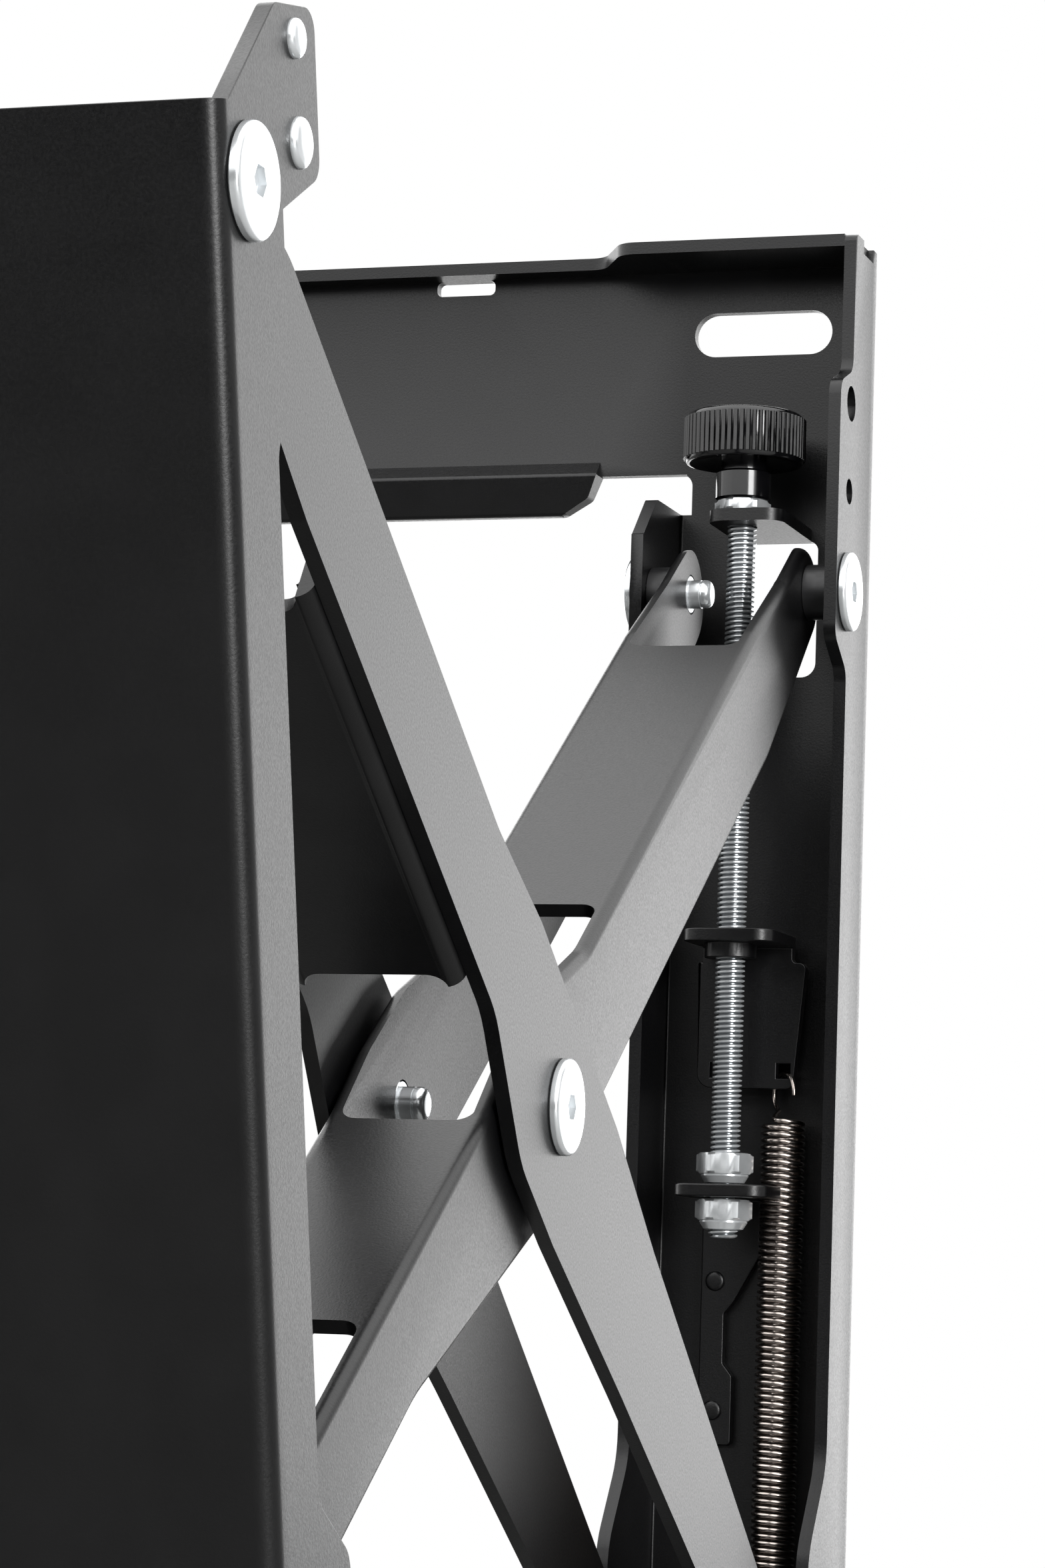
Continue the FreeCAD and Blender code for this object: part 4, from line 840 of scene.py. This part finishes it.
def makeSprings():
    tree = makeWireTree()
    r = (spring["outside"] - spring["wire"]) / 2
    top, bottom = spring["top"], spring["bottom"]
    for side, sign in sides.items():
        x, y = railX + spring["x"], spring["y"]
        count = spring["turns"] * spring["perTurn"]
        coil = []
        for i in range(count + 1):
            angle = -math.pi / 2 + 2 * math.pi * i / spring["perTurn"]
            coil.append(Vector((x + r * math.cos(angle), y + r * math.sin(angle),
                                top + (bottom - top) * i / count)))
        head = hookPoints(Vector((x, y, spring["topHook"])), coil[0], 1)
        tail = hookPoints(Vector((x, y, spring["bottomHook"])), coil[-1], -1)
        points = list(reversed(head)) + coil + tail
        points = [(sign * p.x, p.y, p.z) for p in points]
        edges = [(i, i + 1) for i in range(len(points) - 1)]
        source = pointObject("springPath_" + side, points, edges)
        piece = bakeNodes("spring_" + side + "_wound", source, tree,
                          {"Wire Radius": spring["wire"] / 2, "Sides": spring["sides"],
                           "Finish": springWire}, springWire, 60)
        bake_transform(piece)
        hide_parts("spring_" + side)


makeSprings()
print("springs wound")

# Pale floor, soft lamps, and a surround that is white to the camera and graded in reflections
stage = {"floorZ": -0.262, "floorSize": 5.0, "floorColour": "#e4e4e2", "floorClouds": 3.0,
         "floorRoughLow": 0.7, "floorRoughHigh": 0.85, "ambient": 0.25, "aim": (0, -0.15, 0)}
# What reflections find: a bright far side, a soft sky over the camera and a dark floor before
# it. A ramp is the height, or the way ahead or sideways, where one brightness turns to the next
glow = {"aheadRamp": (-0.2, 0.5), "frontRamp": (0.06, 0.28), "frontLow": 0.03, "frontHigh": 3.2,
        "farRamp": (-0.05, 0.32), "backLow": 3.3, "backHigh": 2.6, "rightLean": -0.5,
        "rightRamp": (0.31, 0.42), "rightLow": 0.25}
lamps = {
    "keyFront": {"place": (2.6, -2.2, 0.5), "size": 1.4, "power": 85},
    "fillLeft": {"place": (-1.9, -1.6, 0.9), "size": 1.8, "power": 1},
    "rightWall": {"place": (1.1, 2.2, -0.1), "size": 1.4, "power": 2},
}


def makeFloor():
    size = stage["floorSize"] / 2
    corners = [(-size, -size), (size, -size), (size, size), (-size, size)]
    mesh = bpy.data.meshes.new("paleFloor")
    mesh.from_pydata([(x, y, stage["floorZ"]) for x, y in corners], [], [(0, 1, 2, 3)])
    floor = bpy.data.objects.new("paleFloor", mesh)
    bpy.context.collection.objects.link(floor)
    material, tree, shader = newMaterial("paleMatFloor")
    place = addNode(tree, "ShaderNodeTexCoord").outputs["Object"]
    cloud = addNode(tree, "ShaderNodeTexNoise", {"Scale": stage["floorClouds"], "Detail": 3.0},
                    {"Vector": place})
    rough = addNode(tree, "ShaderNodeMapRange",
                    {"To Min": stage["floorRoughLow"], "To Max": stage["floorRoughHigh"]},
                    {"Value": cloud.outputs["Fac"]})
    shader.inputs["Base Color"].default_value = hexColour(stage["floorColour"])
    tree.links.new(rough.outputs["Result"], shader.inputs["Roughness"])
    mesh.materials.append(material)


# Settings of a map range node that turns one brightness to another along a ramp
def between(ramp, low, high):
    return {"From Min": ramp[0], "From Max": ramp[1], "To Min": low, "To Max": high}


def makeSurround():
    world = bpy.data.worlds.new("whiteSurround")
    bpy.context.scene.world = world
    world.use_nodes = True
    tree = world.node_tree
    tree.nodes.clear()
    path = addNode(tree, "ShaderNodeLightPath")
    seen = addNode(tree, "ShaderNodeMath", {"operation": "MAXIMUM"},
                   {0: path.outputs["Is Camera Ray"], 1: path.outputs["Is Transmission Ray"]})
    level = addNode(tree, "ShaderNodeMapRange", {"To Min": stage["ambient"], "To Max": 1.0},
                    {"Value": seen.outputs["Value"]})
    way = addNode(tree, "ShaderNodeTexCoord").outputs["Generated"]
    parts = addNode(tree, "ShaderNodeSeparateXYZ", {}, {"Vector": way})
    ahead = addNode(tree, "ShaderNodeMapRange", between(glow["aheadRamp"], 0.0, 1.0),
                    {"Value": parts.outputs["Y"]})
    front = addNode(tree, "ShaderNodeMapRange",
                    between(glow["frontRamp"], glow["frontLow"], glow["frontHigh"]),
                    {"Value": parts.outputs["Z"]})
    far = addNode(tree, "ShaderNodeMapRange",
                  between(glow["farRamp"], glow["backLow"], glow["backHigh"]),
                  {"Value": parts.outputs["Z"]})
    # the bright side ends towards the right, sooner down low
    sideways = addNode(tree, "ShaderNodeMath", {"operation": "MULTIPLY_ADD", 1: glow["rightLean"]},
                       {0: parts.outputs["Z"], 2: parts.outputs["X"]})
    fade = addNode(tree, "ShaderNodeMapRange", between(glow["rightRamp"], 1.0, glow["rightLow"]),
                   {"Value": sideways.outputs["Value"]})
    behind = addNode(tree, "ShaderNodeMath", {"operation": "MULTIPLY"},
                     {0: far.outputs["Result"], 1: fade.outputs["Result"]})
    # a number mix takes its two numbers at sockets 2 and 3
    around = addNode(tree, "ShaderNodeMix", {"data_type": "FLOAT"},
                     {0: ahead.outputs["Result"], 2: front.outputs["Result"],
                      3: behind.outputs["Value"]})
    whole = addNode(tree, "ShaderNodeMix", {"data_type": "FLOAT"},
                    {0: path.outputs["Is Glossy Ray"], 2: level.outputs["Result"],
                     3: around.outputs[0]})
    back = addNode(tree, "ShaderNodeBackground", {"Color": (1, 1, 1, 1)},
                   {"Strength": whole.outputs[0]})
    addNode(tree, "ShaderNodeOutputWorld", {}, {"Surface": back.outputs["Background"]})
    bpy.context.scene.view_settings.view_transform = "Standard"


def makeLamps():
    for name, look in lamps.items():
        lamp = bpy.data.lights.new(name, "AREA")
        lamp.shape = "DISK"
        lamp.size = look["size"]
        lamp.energy = look["power"]
        holder = bpy.data.objects.new(name, lamp)
        bpy.context.collection.objects.link(holder)
        place = Vector(look["place"])
        holder.location = place
        holder.rotation_euler = (Vector(stage["aim"]) - place).to_track_quat("-Z", "Y").to_euler()


makeFloor()
makeSurround()
makeLamps()
print("stage lit")
